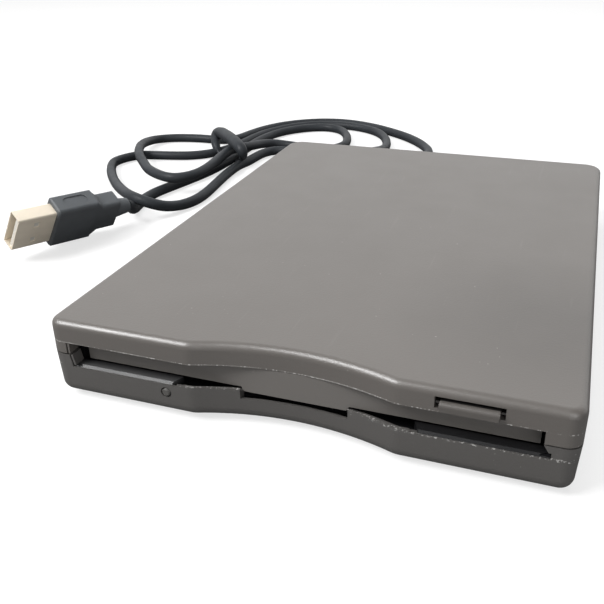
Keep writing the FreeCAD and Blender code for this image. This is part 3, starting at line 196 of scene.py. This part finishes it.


# wear, painted shade and painted highlights on the plastic and the frame: sizes and places in mm, colours
# linear
# a cut says at which noise a mark begins and where it is full, and a shift sets two noises apart
wearAndPaintedLight = {
    "dust": {
        "speck": 0.75, "speckCut": (0.765, 0.79),
        "cluster": 18, "clusterCut": (0.50, 0.66), "shift": (100, 100, 0),
        "colour": (0.55, 0.53, 0.50, 1.0),
    },
    "scuffs": {
        "line": 1.4, "lineCut": (0.66, 0.74), "stretch": (1.0, 0.06, 1.0),
        "patch": 30, "patchCut": (0.45, 0.65), "shift": (30, 200, 0),
        "colour": (0.60, 0.58, 0.55, 1.0),
    },
    "edges": {
        "speck": 0.4, "speckCut": (0.56, 0.64), "colour": (0.60, 0.59, 0.57, 1.0),
        # height of each line and how far it reaches up and down
        "rim": (8.12, 0.24), "lipRim": (7.78, 0.22), "brow": (13.45, 0.20), "browHighlight": (13.46, 0.16),
        # where along X the lip's line starts, and where the painted highlight along the brow ends
        "lipFrom": (14, 16), "highlightEnds": (14, 22),
        # patches that break up the brow's painted highlight, and how strong it is
        "highlightPatch": 12, "highlightCut": (0.42, 0.62), "highlightAmount": 0.34, "shift": (70, 0, 0),
    },
    # painted shade on the button inside its window: where along Y it begins and where it is full, and its
    # colour
    "gap": {"from": -70.65, "full": -70.40, "colour": (0.002, 0.002, 0.002, 1.0)},
    # painted highlight on the front of the left lip: where along Y and X it fades, and its colour
    "front": {"y": (-70.3, -67.2), "x": (-10, 10), "colour": (0.34, 0.34, 0.34, 1.0)},
    "smudge": {
        "centre": (44, -40, 22), "radius": (8, 34),   # full inside the first, gone outside the second
        "patch": 20, "ragged": (0.7, 1.0),
        "colour": (0.0, 0.0, 0.0, 1.0),
    },
}


def addDust(tree, base, amount):
    # sparse pale specks that lie here and there
    dust = wearAndPaintedLight["dust"]
    specks = noise(tree, placeOn(tree), dust["speck"], detail=1)
    clusters = noise(tree, placeOn(tree, shift=dust["shift"]), dust["cluster"], detail=2)
    spread = product(tree, remap(tree, specks, *dust["speckCut"]),
                     remap(tree, clusters, *dust["clusterCut"], 0.0, amount))
    return blendColour(tree, spread, base, dust["colour"])


def addScuffs(tree, base, amount):
    # faint long rubs, a little lighter than the plastic
    scuffs = wearAndPaintedLight["scuffs"]
    lines = noise(tree, placeOn(tree, scuffs["stretch"]), scuffs["line"], detail=2)
    where = noise(tree, placeOn(tree, shift=scuffs["shift"]), scuffs["patch"], detail=2)
    rubs = product(tree, remap(tree, lines, *scuffs["lineCut"]),
                   remap(tree, where, *scuffs["patchCut"], 0.0, amount))
    return blendColour(tree, rubs, base, scuffs["colour"])


def addEdgeSpecksAndHighlight(tree, base, amount):
    # lint on the rim of the slot, lower beside the lips, and on its brow; a painted highlight also makes
    # the left part of the brow's edge pale
    edges = wearAndPaintedLight["edges"]
    specks = remap(tree, noise(tree, placeOn(tree), edges["speck"], detail=2),
                   *edges["speckCut"], 0.0, amount)
    besideLip = product(tree, specks, fadeAlong(tree, "X", edges["lipFrom"], 0.0, 1.0))
    patches = noise(tree, placeOn(tree, shift=edges["shift"]), edges["highlightPatch"], detail=3)
    paintedHighlight = product(tree, remap(tree, patches, *edges["highlightCut"], 0.0, edges["highlightAmount"]),
                     fadeAlong(tree, "X", edges["highlightEnds"], 1.0, 0.0))
    for line, where in (("rim", specks), ("lipRim", besideLip), ("brow", specks), ("browHighlight", paintedHighlight)):
        height, reach = edges[line]
        shown = product(tree, where, nearHeight(tree, height, reach))
        base = blendColour(tree, shown, base, edges["colour"])
    return base


def addPaintedGapShade(tree, base, amount):
    # painted shade: black on the button where it goes into its window, standing in for the shadow in the
    # gap above it
    gap = wearAndPaintedLight["gap"]
    inGapShade = fadeAlong(tree, "Y", (gap["from"], gap["full"]), 0.0, amount)
    return blendColour(tree, inGapShade, base, gap["colour"])


def addPaintedLipHighlight(tree, base, amount):
    # painted highlight: paler toward the front of the left lip, standing in for its reflection of the
    # light from the left
    front = wearAndPaintedLight["front"]
    highlighted = product(tree, fadeAlong(tree, "Y", front["y"], amount, 0.0),
                   fadeAlong(tree, "X", front["x"], 1.0, 0.0))
    return blendColour(tree, highlighted, base, front["colour"])


def addSmudge(tree, base, amount):
    # a soft dark stain where a hand holds the case, at the right front of the top
    smudge = wearAndPaintedLight["smudge"]
    coords = addNode(tree, "ShaderNodeTexCoord")
    away = addNode(tree, "ShaderNodeVectorMath", operation="DISTANCE")
    away.inputs[1].default_value = [v * mm for v in smudge["centre"]]
    tree.links.new(coords.outputs["Object"], away.inputs[0])
    ragged = remap(tree, noise(tree, placeOn(tree), smudge["patch"], detail=2),
                   *noiseSpan, *smudge["ragged"])
    inner, outer = smudge["radius"]
    stain = product(tree, remap(tree, away.outputs["Value"], inner * mm, outer * mm, amount, 0.0), ragged)
    return blendColour(tree, stain, base, smudge["colour"])


sheenShare = 0.4      # size of the patches of sheen, against those of tone
grainStrength = 0.6


def makeFinish(name, values):
    made = bpy.data.materials.new(name)
    made.use_nodes = True
    tree = made.node_tree
    shader = tree.nodes["Principled BSDF"]
    setInputs(shader, Metallic=values.get("metal", 0.0), Specular_IOR_Level=values.get("gloss", 0.5))
    colour, tone = values["colour"], values["tone"]
    vector = placeOn(tree, values.get("stretch", (1, 1, 1)))

    patches = noise(tree, vector, values["toneSize"], detail=3)
    base = blendColour(tree, remap(tree, patches, *noiseSpan),
                       shade(colour, 1 - tone), shade(colour, 1 + tone))
    for extra, add in (("smudge", addSmudge), ("scuffs", addScuffs), ("dust", addDust),
                       ("edgeSpecksAndHighlight", addEdgeSpecksAndHighlight), ("paintedLipHighlight", addPaintedLipHighlight),
                       ("paintedGapShade", addPaintedGapShade)):
        if extra in values:
            base = add(tree, base, values[extra])
    tree.links.new(base, shader.inputs["Base Color"])

    sheen = noise(tree, vector, values["toneSize"] * sheenShare, detail=4)
    tree.links.new(remap(tree, sheen, *noiseSpan, *values["rough"]), shader.inputs["Roughness"])
    grain = noise(tree, vector, values["grain"], detail=2)
    addBump(tree, shader, grain, grainStrength, values["depth"])
    return made


materials = {name: makeFinish(name, values) for name, values in finishes.items()}


# CAD pieces take the finish of their slot, and three of them a finish of their own
ownFinish = {
    "bottom_shell": "shaded_case_plastic",
    "eject_button": "button_plastic",
    "plug_overmould": "plug_rubber",
}


def dressFrame():
    for part in frame["record"]["subparts"]:
        piece = frame["nodes"][part["node"]]
        finish = materials[ownFinish.get(part["node"], part["material_slot"])]
        if not piece.material_slots:
            piece.data.materials.append(finish)
        for place in piece.material_slots:
            place.material = finish


dressFrame()
print("finishes on", len(frame["nodes"]), "CAD pieces")

# camera: lengths in mm, turns in degrees
view = {
    "place": (43.573, -179.267, 89.281),
    "yaw": 20.299, "pitch": 26.853, "roll": -0.990,
    "lens": 45.61, "sensor": 36, "nearest": 10,
}


def makeCamera():
    yaw, pitch, roll = (math.radians(view[k]) for k in ("yaw", "pitch", "roll"))
    ahead = Vector((-math.sin(yaw) * math.cos(pitch), math.cos(yaw) * math.cos(pitch), -math.sin(pitch)))
    level = Vector((math.cos(yaw), math.sin(yaw), 0))
    upright = level.cross(ahead)
    right = level * math.cos(roll) + upright * math.sin(roll)
    top = upright * math.cos(roll) - level * math.sin(roll)
    camera = bpy.data.objects.new("camera", bpy.data.cameras.new("camera"))
    bpy.context.collection.objects.link(camera)
    camera.data.lens = view["lens"]
    camera.data.sensor_width = view["sensor"]
    camera.data.clip_start = view["nearest"] * mm
    turned = Matrix((right, top, -ahead)).transposed().to_4x4()
    camera.matrix_world = Matrix.Translation(Vector(view["place"]) * mm) @ turned
    bpy.context.scene.camera = camera


makeCamera()

# cable, in mm: the route runs from the plug through the folded loops to the strain relief
cable = {
    "diameter": 3.6,
    "length": 932.0,
    "exit": (-32.0, 83.6, 7.0),
    "rings": 12,
}
cableRoute = [
    # from the plug, under the left loop and up through the waist
    (-89.38, 19.86, 7.26), (-89.5, 21.8, 6.4), (-90.8, 24.8, 4.2), (-92.6, 29, 2.5), (-94.4, 34.6, 1.9),
    (-95.4, 41, 1.9), (-95.1, 47.2, 1.9), (-93.9, 52.4, 1.9), (-92.4, 57.8, 1.9), (-90.6, 64.5, 1.9),
    (-88.6, 72.5, 1.9), (-87.2, 81.5, 1.9), (-86.6, 90.5, 1.9), (-86.8, 99.6, 1.9), (-86.9, 109, 1.9),
    # inner right loop
    (-87, 120.4, 1.9), (-85.6, 131, 1.9), (-82.6, 139.6, 1.9), (-77.8, 146.2, 1.9), (-71.6, 151.2, 1.9),
    (-65, 153.2, 1.9), (-58.6, 150.8, 1.9), (-54, 144.6, 1.9), (-50.6, 136, 1.9), (-48.8, 127, 1.9),
    (-51.4, 119.4, 1.9), (-58.2, 117, 1.9), (-65.8, 118.6, 1.9),
    # over the waist, and the inner left loop
    (-72.4, 119.2, 2.1), (-77.6, 117.6, 2.8), (-80.6, 112.6, 3.7), (-81.6, 106, 4.7),
    (-82.2, 99.4, 5.8), (-84, 93.8, 6.5), (-85.5, 89.5, 6.6), (-85, 81.9, 6.5), (-84, 72.8, 6.4),
    (-83.7, 64.3, 6.3), (-84.8, 58, 6.2), (-87.6, 54, 6.1), (-91.3, 52, 6.2), (-97.2, 54.2, 6.2),
    (-104.5, 59.4, 6), (-109.8, 65.8, 5.9), (-117.4, 74.4, 6.4), (-125.2, 88.2, 5.7),
    (-130.4, 102.6, 3.4), (-130.2, 112, 2.1), (-123.8, 116.8, 1.9), (-114.4, 118.9, 1.9),
    (-106.8, 118.9, 1.9), (-100.6, 119.4, 1.9),
    # outer right loop
    (-96.6, 123.4, 1.9), (-95.2, 130, 1.9), (-93, 138.4, 1.9), (-89, 147, 1.9), (-83.4, 154.2, 1.9),
    (-75.3, 160.2, 1.9), (-66.3, 163.4, 1.9), (-56.2, 163.2, 1.9), (-45.4, 159.4, 1.9),
    (-35.2, 153.2, 1.9), (-26, 146, 1.9), (-18.2, 137, 1.9), (-12.4, 126.2, 1.9), (-12.6, 114, 1.9),
    (-20.2, 106, 1.9), (-32, 102.4, 1.9), (-44.6, 101.8, 1.9), (-55, 104.6, 1.9), (-63, 109, 1.9),
    # outer left loop, with a hump over the cable that leaves the plug
    (-69.2, 111.4, 1.9), (-74.6, 110.4, 1.9), (-77.6, 105.6, 1.9), (-78.4, 99, 1.9), (-78.8, 92.4, 1.9),
    (-80.3, 86.9, 1.9), (-80.3, 79.4, 1.9), (-79.6, 70.8, 1.9), (-78.5, 61.5, 1.9), (-77.4, 51.8, 1.9),
    (-77.6, 44.6, 1.9), (-79.1, 39.3, 2), (-80.8, 35.4, 2.5), (-82.3, 31.5, 3.6), (-84.2, 28.8, 4.9),
    (-86.7, 27.3, 6.1), (-90.2, 27.3, 6.9), (-96.2, 31.4, 6.4), (-104.7, 40.2, 4.8), (-113.5, 50.5, 3),
    (-121.5, 60.8, 1.9), (-126.9, 68.6, 1.9), (-131, 77.3, 1.9), (-126.4, 87.8, 1.9), (-119, 89.6, 1.9),
    (-111.2, 91.2, 1.9), (-104.2, 93.4, 1.9), (-98.6, 97.8, 1.9), (-94.8, 104.4, 1.9),
    (-92.4, 112, 1.9),
    # last arc on the right, over the outer loop and into the strain relief
    (-91.4, 119.6, 1.9), (-90.6, 127.4, 1.9), (-88.6, 135.6, 1.9), (-84.6, 144, 1.9), (-79.4, 151, 1.9),
    (-72.6, 156.2, 1.9), (-64.6, 158.7, 1.9), (-54.8, 158.2, 1.9), (-46, 154.9, 1.9), (-39.2, 149, 1.9),
    (-34.4, 140.2, 1.9), (-31.6, 130, 2), (-30.6, 119.8, 3.2), (-31.4, 110.8, 5), (-33.2, 103.6, 6.2),
    (-33.6, 97.6, 6.3), (-32.6, 93.2, 6.7), (-32, 88.6, 7), (-32, 83.6, 7),
]


roundSteps = 4        # Blender's bevel resolution: 4 gives 12 corners round the section


def makeCurve(name, route, radius, rings, loop=False):
    curve = bpy.data.curves.new(name, "CURVE")
    curve.dimensions = "3D"
    line = curve.splines.new("NURBS")
    line.points.add(len(route) - 1)
    for point, spot in zip(line.points, route):
        point.co = (spot[0] * mm, spot[1] * mm, spot[2] * mm, 1)
    line.order_u = 3
    if loop:
        line.use_cyclic_u = True
    else:
        line.use_endpoint_u = True
    line.resolution_u = rings
    curve.bevel_depth = radius * mm
    curve.bevel_resolution = roundSteps
    curve.use_fill_caps = not loop
    piece = bpy.data.objects.new(name, curve)
    bpy.context.collection.objects.link(piece)
    return piece


def asMesh(piece):
    # the evaluated shape as a plain mesh at the origin
    bpy.context.view_layer.update()
    shape = bpy.data.meshes.new_from_object(piece.evaluated_get(bpy.context.evaluated_depsgraph_get()))
    plain = bpy.data.objects.new(piece.name + "Mesh", shape)
    bpy.context.collection.objects.link(plain)
    name = piece.name
    bpy.data.objects.remove(piece, do_unlink=True)
    plain.name = name
    return plain


def makeCable():
    piece = makeCurve("usbCable", cableRoute[::-1], cable["diameter"] / 2, cable["rings"])
    piece.data.materials.append(materials["cord_rubber"])
    return piece


# tie: one soft turn round the loops where they cross, thin where it passes under them
tie = {
    "thickness": 4.0,
    "rings": 10,
    "route": [   # place in mm, and share of the thickness
        (-92, 99, 0.8, 0.35), (-83.5, 92.5, 0.8, 0.35), (-80, 89, 4.2, 0.35),
        (-76.5, 83.4, 6.6, 0.85), (-76.7, 82.4, 9.8, 1.1), (-81.7, 88.1, 10.4, 1.2),
        (-88.3, 96.2, 10, 1.2), (-95, 104.4, 9.2, 1.2), (-99.6, 108.9, 8, 1.15),
        (-99.7, 106.6, 6.2, 1.05), (-97.3, 101.9, 4.2, 0.9), (-95.6, 100.4, 2, 0.5),
    ],
}


def makeTie():
    route = [spot[:3] for spot in tie["route"]]
    piece = makeCurve("cableTie", route, tie["thickness"] / 2, tie["rings"], loop=True)
    for point, spot in zip(piece.data.splines[0].points, tie["route"]):
        point.radius = spot[3]
    piece = asMesh(piece)
    piece.data.materials.clear()
    piece.data.materials.append(materials["cord_rubber"])
    for face in piece.data.polygons:
        face.use_smooth = True
    return piece


usbCable = makeCable()
cableTie = makeTie()
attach(usbCable, "case")
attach(cableTie, "case")
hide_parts("usb_cord_lead", "usb_cord_hank", "usb_cord_tail")
print("cable laid")

# pieces built by geometry nodes
def newTree(name, sizes):
    tree = bpy.data.node_groups.new(name, "GeometryNodeTree")
    tree.interface.new_socket("Geometry", in_out="INPUT", socket_type="NodeSocketGeometry")
    for size in sizes:
        tree.interface.new_socket(size, in_out="INPUT", socket_type="NodeSocketFloat")
    tree.interface.new_socket("finish", in_out="INPUT", socket_type="NodeSocketMaterial")
    tree.interface.new_socket("Geometry", in_out="OUTPUT", socket_type="NodeSocketGeometry")
    return tree, addNode(tree, "NodeGroupInput"), addNode(tree, "NodeGroupOutput")


def endTree(tree, given, out, geometry):
    real = addNode(tree, "GeometryNodeRealizeInstances")
    dressed = addNode(tree, "GeometryNodeSetMaterial")
    tree.links.new(geometry, real.inputs["Geometry"])
    tree.links.new(real.outputs["Geometry"], dressed.inputs["Geometry"])
    tree.links.new(given.outputs["finish"], dressed.inputs["Material"])
    tree.links.new(dressed.outputs["Geometry"], out.inputs["Geometry"])


def grow(name, tree, spots, values):
    # runs a tree on a mesh of loose points, and keeps its result as a plain mesh
    mesh = bpy.data.meshes.new(name + "Points")
    mesh.from_pydata([[v * mm for v in spot] for spot in spots], [], [])
    piece = bpy.data.objects.new(name, mesh)
    bpy.context.collection.objects.link(piece)
    modifier = piece.modifiers.new("build", "NODES")
    modifier.node_group = tree
    for item in tree.interface.items_tree:
        if item.in_out == "INPUT" and item.name in values:
            modifier[item.identifier] = values[item.name]
    return asMesh(piece)


# screws in the underside: tapered heads with a cross recess, in mm
screws = {
    "cover": dict(spots=[(-44.5, 64.8, 5.5), (44.5, 64.8, 5.5)], radius=2.1, height=1.0),
    "drive": dict(spots=[(-42, -49.4, 1.7), (42, -49.4, 1.7), (-42, 37.6, 1.7), (42, 37.6, 1.7)],
                  radius=2.2, height=0.8),
    "recess": (0.55, 2.4, 0.6),   # width, length and depth of its cross
    "topShare": 0.76, "sides": 32,   # how much of the radius is left at the top of the taper
    "turnSeed": 4,
}


def makeScrewTree():
    tree, given, out = newTree("screwHeads", ("radius", "height"))
    head = addNode(tree, "GeometryNodeMeshCone")
    setInputs(head, Vertices=screws["sides"])
    top = addNode(tree, "ShaderNodeMath", operation="MULTIPLY")
    top.inputs[1].default_value = screws["topShare"]
    tree.links.new(given.outputs["radius"], top.inputs[0])
    tree.links.new(top.outputs[0], head.inputs["Radius Top"])
    tree.links.new(given.outputs["radius"], head.inputs["Radius Bottom"])
    tree.links.new(given.outputs["height"], head.inputs["Depth"])
    width, length, deep = (v * mm for v in screws["recess"])
    bars = addNode(tree, "GeometryNodeJoinGeometry")
    raised = addNode(tree, "ShaderNodeCombineXYZ")
    tree.links.new(given.outputs["height"], raised.inputs["Z"])
    for size in ((width, length, deep * 2), (length, width, deep * 2)):
        bar = addNode(tree, "GeometryNodeMeshCube")
        setInputs(bar, Size=size)
        up = addNode(tree, "GeometryNodeTransform")
        tree.links.new(bar.outputs["Mesh"], up.inputs["Geometry"])
        tree.links.new(raised.outputs[0], up.inputs["Translation"])
        tree.links.new(up.outputs["Geometry"], bars.inputs[0])
    cross = addNode(tree, "GeometryNodeMeshBoolean", operation="DIFFERENCE")
    tree.links.new(head.outputs["Mesh"], cross.inputs["Mesh 1"])
    tree.links.new(bars.outputs[0], cross.inputs["Mesh 2"])
    over = addNode(tree, "GeometryNodeTransform")
    setInputs(over, Rotation=(math.pi, 0, 0))
    tree.links.new(cross.outputs["Mesh"], over.inputs["Geometry"])
    turn = addNode(tree, "FunctionNodeRandomValue", data_type="FLOAT_VECTOR")
    setInputs(turn, Max=(0, 0, math.pi / 2), Seed=screws["turnSeed"])
    points = addNode(tree, "GeometryNodeMeshToPoints")
    spread = addNode(tree, "GeometryNodeInstanceOnPoints")
    tree.links.new(given.outputs["Geometry"], points.inputs["Mesh"])
    tree.links.new(points.outputs["Points"], spread.inputs["Points"])
    tree.links.new(over.outputs["Geometry"], spread.inputs["Instance"])
    tree.links.new(turn.outputs["Value"], spread.inputs["Rotation"])
    endTree(tree, given, out, spread.outputs["Instances"])
    return tree


def makeScrews():
    tree = makeScrewTree()
    for kind in ("cover", "drive"):
        sizes = screws[kind]
        piece = grow(kind + "Screws", tree, sizes["spots"],
                     {"radius": sizes["radius"] * mm, "height": sizes["height"] * mm,
                      "finish": materials["pin_steel"]})
        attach(piece, "case")


makeScrews()

# lead screw of the heads: a core with one ridge wound round it
# lengths in mm; core, ridge and journal are radii
leadScrew = {
    "core": 1.12, "ridge": 0.34, "turns": 5.8, "length": 17.4,
    "journal": 1.0, "journalLength": 20.2,
    "middle": (-20.0, 38.0, 8.6),
}
leadScrewSteps = {"round": 24, "ridge": 8}


def makeLeadScrewTree():
    sizes = [name for name in leadScrew if name != "middle"]
    tree, given, out = newTree("woundRidge", sizes)
    joined = addNode(tree, "GeometryNodeJoinGeometry")
    for radius, length in (("core", "length"), ("journal", "journalLength")):
        rod = addNode(tree, "GeometryNodeMeshCylinder")
        setInputs(rod, Vertices=leadScrewSteps["round"])
        tree.links.new(given.outputs[radius], rod.inputs["Radius"])
        tree.links.new(given.outputs[length], rod.inputs["Depth"])
        tree.links.new(rod.outputs["Mesh"], joined.inputs[0])
    spiral = addNode(tree, "GeometryNodeCurveSpiral")
    setInputs(spiral, Resolution=leadScrewSteps["round"])
    tree.links.new(given.outputs["turns"], spiral.inputs["Rotations"])
    tree.links.new(given.outputs["core"], spiral.inputs["Start Radius"])
    tree.links.new(given.outputs["core"], spiral.inputs["End Radius"])
    tree.links.new(given.outputs["length"], spiral.inputs["Height"])
    ring = addNode(tree, "GeometryNodeCurvePrimitiveCircle")
    setInputs(ring, Resolution=leadScrewSteps["ridge"])
    tree.links.new(given.outputs["ridge"], ring.inputs["Radius"])
    wound = addNode(tree, "GeometryNodeCurveToMesh")
    setInputs(wound, Fill_Caps=True)
    tree.links.new(spiral.outputs["Curve"], wound.inputs["Curve"])
    tree.links.new(ring.outputs["Curve"], wound.inputs["Profile Curve"])
    half = addNode(tree, "ShaderNodeMath", operation="MULTIPLY")
    half.inputs[1].default_value = -0.5
    tree.links.new(given.outputs["length"], half.inputs[0])
    below = addNode(tree, "ShaderNodeCombineXYZ")
    tree.links.new(half.outputs[0], below.inputs["Z"])
    centred = addNode(tree, "GeometryNodeTransform")
    tree.links.new(wound.outputs["Mesh"], centred.inputs["Geometry"])
    tree.links.new(below.outputs[0], centred.inputs["Translation"])
    tree.links.new(centred.outputs["Geometry"], joined.inputs[0])
    laid = addNode(tree, "GeometryNodeTransform")
    setInputs(laid, Rotation=(math.pi / 2, 0, 0), Translation=[v * mm for v in leadScrew["middle"]])
    flat = addNode(tree, "GeometryNodeSetShadeSmooth")
    setInputs(flat, Shade_Smooth=False)
    tree.links.new(joined.outputs[0], laid.inputs["Geometry"])
    tree.links.new(laid.outputs["Geometry"], flat.inputs["Geometry"])
    endTree(tree, given, out, flat.outputs["Geometry"])
    return tree


def makeLeadScrew():
    values = {name: value * mm for name, value in leadScrew.items() if name not in ("turns", "middle")}
    values.update(turns=leadScrew["turns"], finish=materials["pin_steel"])
    piece = grow("woundScrew", makeLeadScrewTree(), [(0, 0, 0)], values)
    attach(piece, "screw")
    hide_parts("lead_screw")


makeLeadScrew()
print("screws and lead screw made")

# floor and light, in m
studio = {
    "floorSize": 3.0, "floorColour": 0.16, "floorRough": 0.9, "floorGloss": 0.1,
    "floorGlow": 0.68, "floorSeen": 0.31,
    "background": 1.34, "worldLight": 0.28, "worldFront": 0.04,
    "backdropTilt": (0.0, 1.0, -0.5), "backdropEdge": (-0.10, 0.30),
    "unseenLamp": "above",       # lights, and isn't mirrored in the plastic
    "lamps": {                   # place, aim, size and watts
        "key": ((-0.54, -0.46, 0.70), (0.0, -0.05, 0.0), 0.44, 11.5),
        "fill": ((0.50, -0.80, 0.36), (-0.03, 0.0, 0.0), 0.70, 3.4),
        "above": ((-0.10, 0.35, 1.0), (0.0, 0.0, 0.0), 0.8, 7.0),
    },
}


def makeFloor():
    size = studio["floorSize"]
    corners = [(-size, -size, 0), (size, -size, 0), (size, size, 0), (-size, size, 0)]
    mesh = bpy.data.meshes.new("floor")
    mesh.from_pydata(corners, [], [(0, 1, 2, 3)])
    floor = bpy.data.objects.new("floor", mesh)
    bpy.context.collection.objects.link(floor)
    made = bpy.data.materials.new("floorPaper")
    made.use_nodes = True
    tree = made.node_tree
    shader = tree.nodes["Principled BSDF"]
    tone = studio["floorColour"]
    setInputs(shader, Base_Color=(tone, tone, tone, 1), Roughness=studio["floorRough"],
              Specular_IOR_Level=studio["floorGloss"])
    # the camera sees darker paper with a glow that lifts it to white, so the shadow stays light
    seen = addNode(tree, "ShaderNodeBsdfDiffuse")
    setInputs(seen, Color=(studio["floorSeen"],) * 3 + (1,))
    glow = addNode(tree, "ShaderNodeEmission")
    setInputs(glow, Strength=studio["floorGlow"])
    total = addNode(tree, "ShaderNodeAddShader")
    choose = addNode(tree, "ShaderNodeMixShader")
    path = addNode(tree, "ShaderNodeLightPath")
    out = tree.nodes["Material Output"]
    tree.links.new(seen.outputs[0], total.inputs[0])
    tree.links.new(glow.outputs[0], total.inputs[1])
    tree.links.new(path.outputs["Is Camera Ray"], choose.inputs[0])
    tree.links.new(shader.outputs[0], choose.inputs[1])
    tree.links.new(total.outputs[0], choose.inputs[2])
    tree.links.new(choose.outputs[0], out.inputs["Surface"])
    mesh.materials.append(made)


def makeLight():
    world = bpy.data.worlds.new("studio")
    bpy.context.scene.world = world
    world.use_nodes = True
    tree = world.node_tree
    plain = tree.nodes["Background"]
    setInputs(plain, Strength=studio["worldLight"], Color=(1, 1, 1, 1))
    # glossy surfaces see the white backdrop low behind, and a darker room overhead and in front
    coords = addNode(tree, "ShaderNodeTexCoord")
    behind = addNode(tree, "ShaderNodeVectorMath", operation="DOT_PRODUCT")
    behind.inputs[1].default_value = studio["backdropTilt"]
    tree.links.new(coords.outputs["Generated"], behind.inputs[0])
    room = addNode(tree, "ShaderNodeBackground")
    strength = remap(tree, behind.outputs["Value"], *studio["backdropEdge"],
                     studio["worldFront"], studio["background"])
    tree.links.new(strength, room.inputs["Strength"])
    white = addNode(tree, "ShaderNodeBackground")
    setInputs(white, Strength=studio["background"])
    path = addNode(tree, "ShaderNodeLightPath")
    glossy = addNode(tree, "ShaderNodeMixShader")
    seen = addNode(tree, "ShaderNodeMixShader")
    tree.links.new(path.outputs["Is Glossy Ray"], glossy.inputs[0])
    tree.links.new(plain.outputs[0], glossy.inputs[1])
    tree.links.new(room.outputs[0], glossy.inputs[2])
    tree.links.new(path.outputs["Is Camera Ray"], seen.inputs[0])
    tree.links.new(glossy.outputs[0], seen.inputs[1])
    tree.links.new(white.outputs[0], seen.inputs[2])
    tree.links.new(seen.outputs[0], tree.nodes["World Output"].inputs["Surface"])
    for name, (place, aim, size, power) in studio["lamps"].items():
        lamp = bpy.data.lights.new(name, "AREA")
        lamp.size = size
        lamp.energy = power
        holder = bpy.data.objects.new(name, lamp)
        holder.location = place
        holder.rotation_euler = (Vector(aim) - Vector(place)).to_track_quat("-Z", "Y").to_euler()
        holder.visible_glossy = name != studio["unseenLamp"]
        bpy.context.collection.objects.link(holder)


makeFloor()
makeLight()
bpy.context.scene.view_settings.view_transform = "Standard"
print("studio ready")
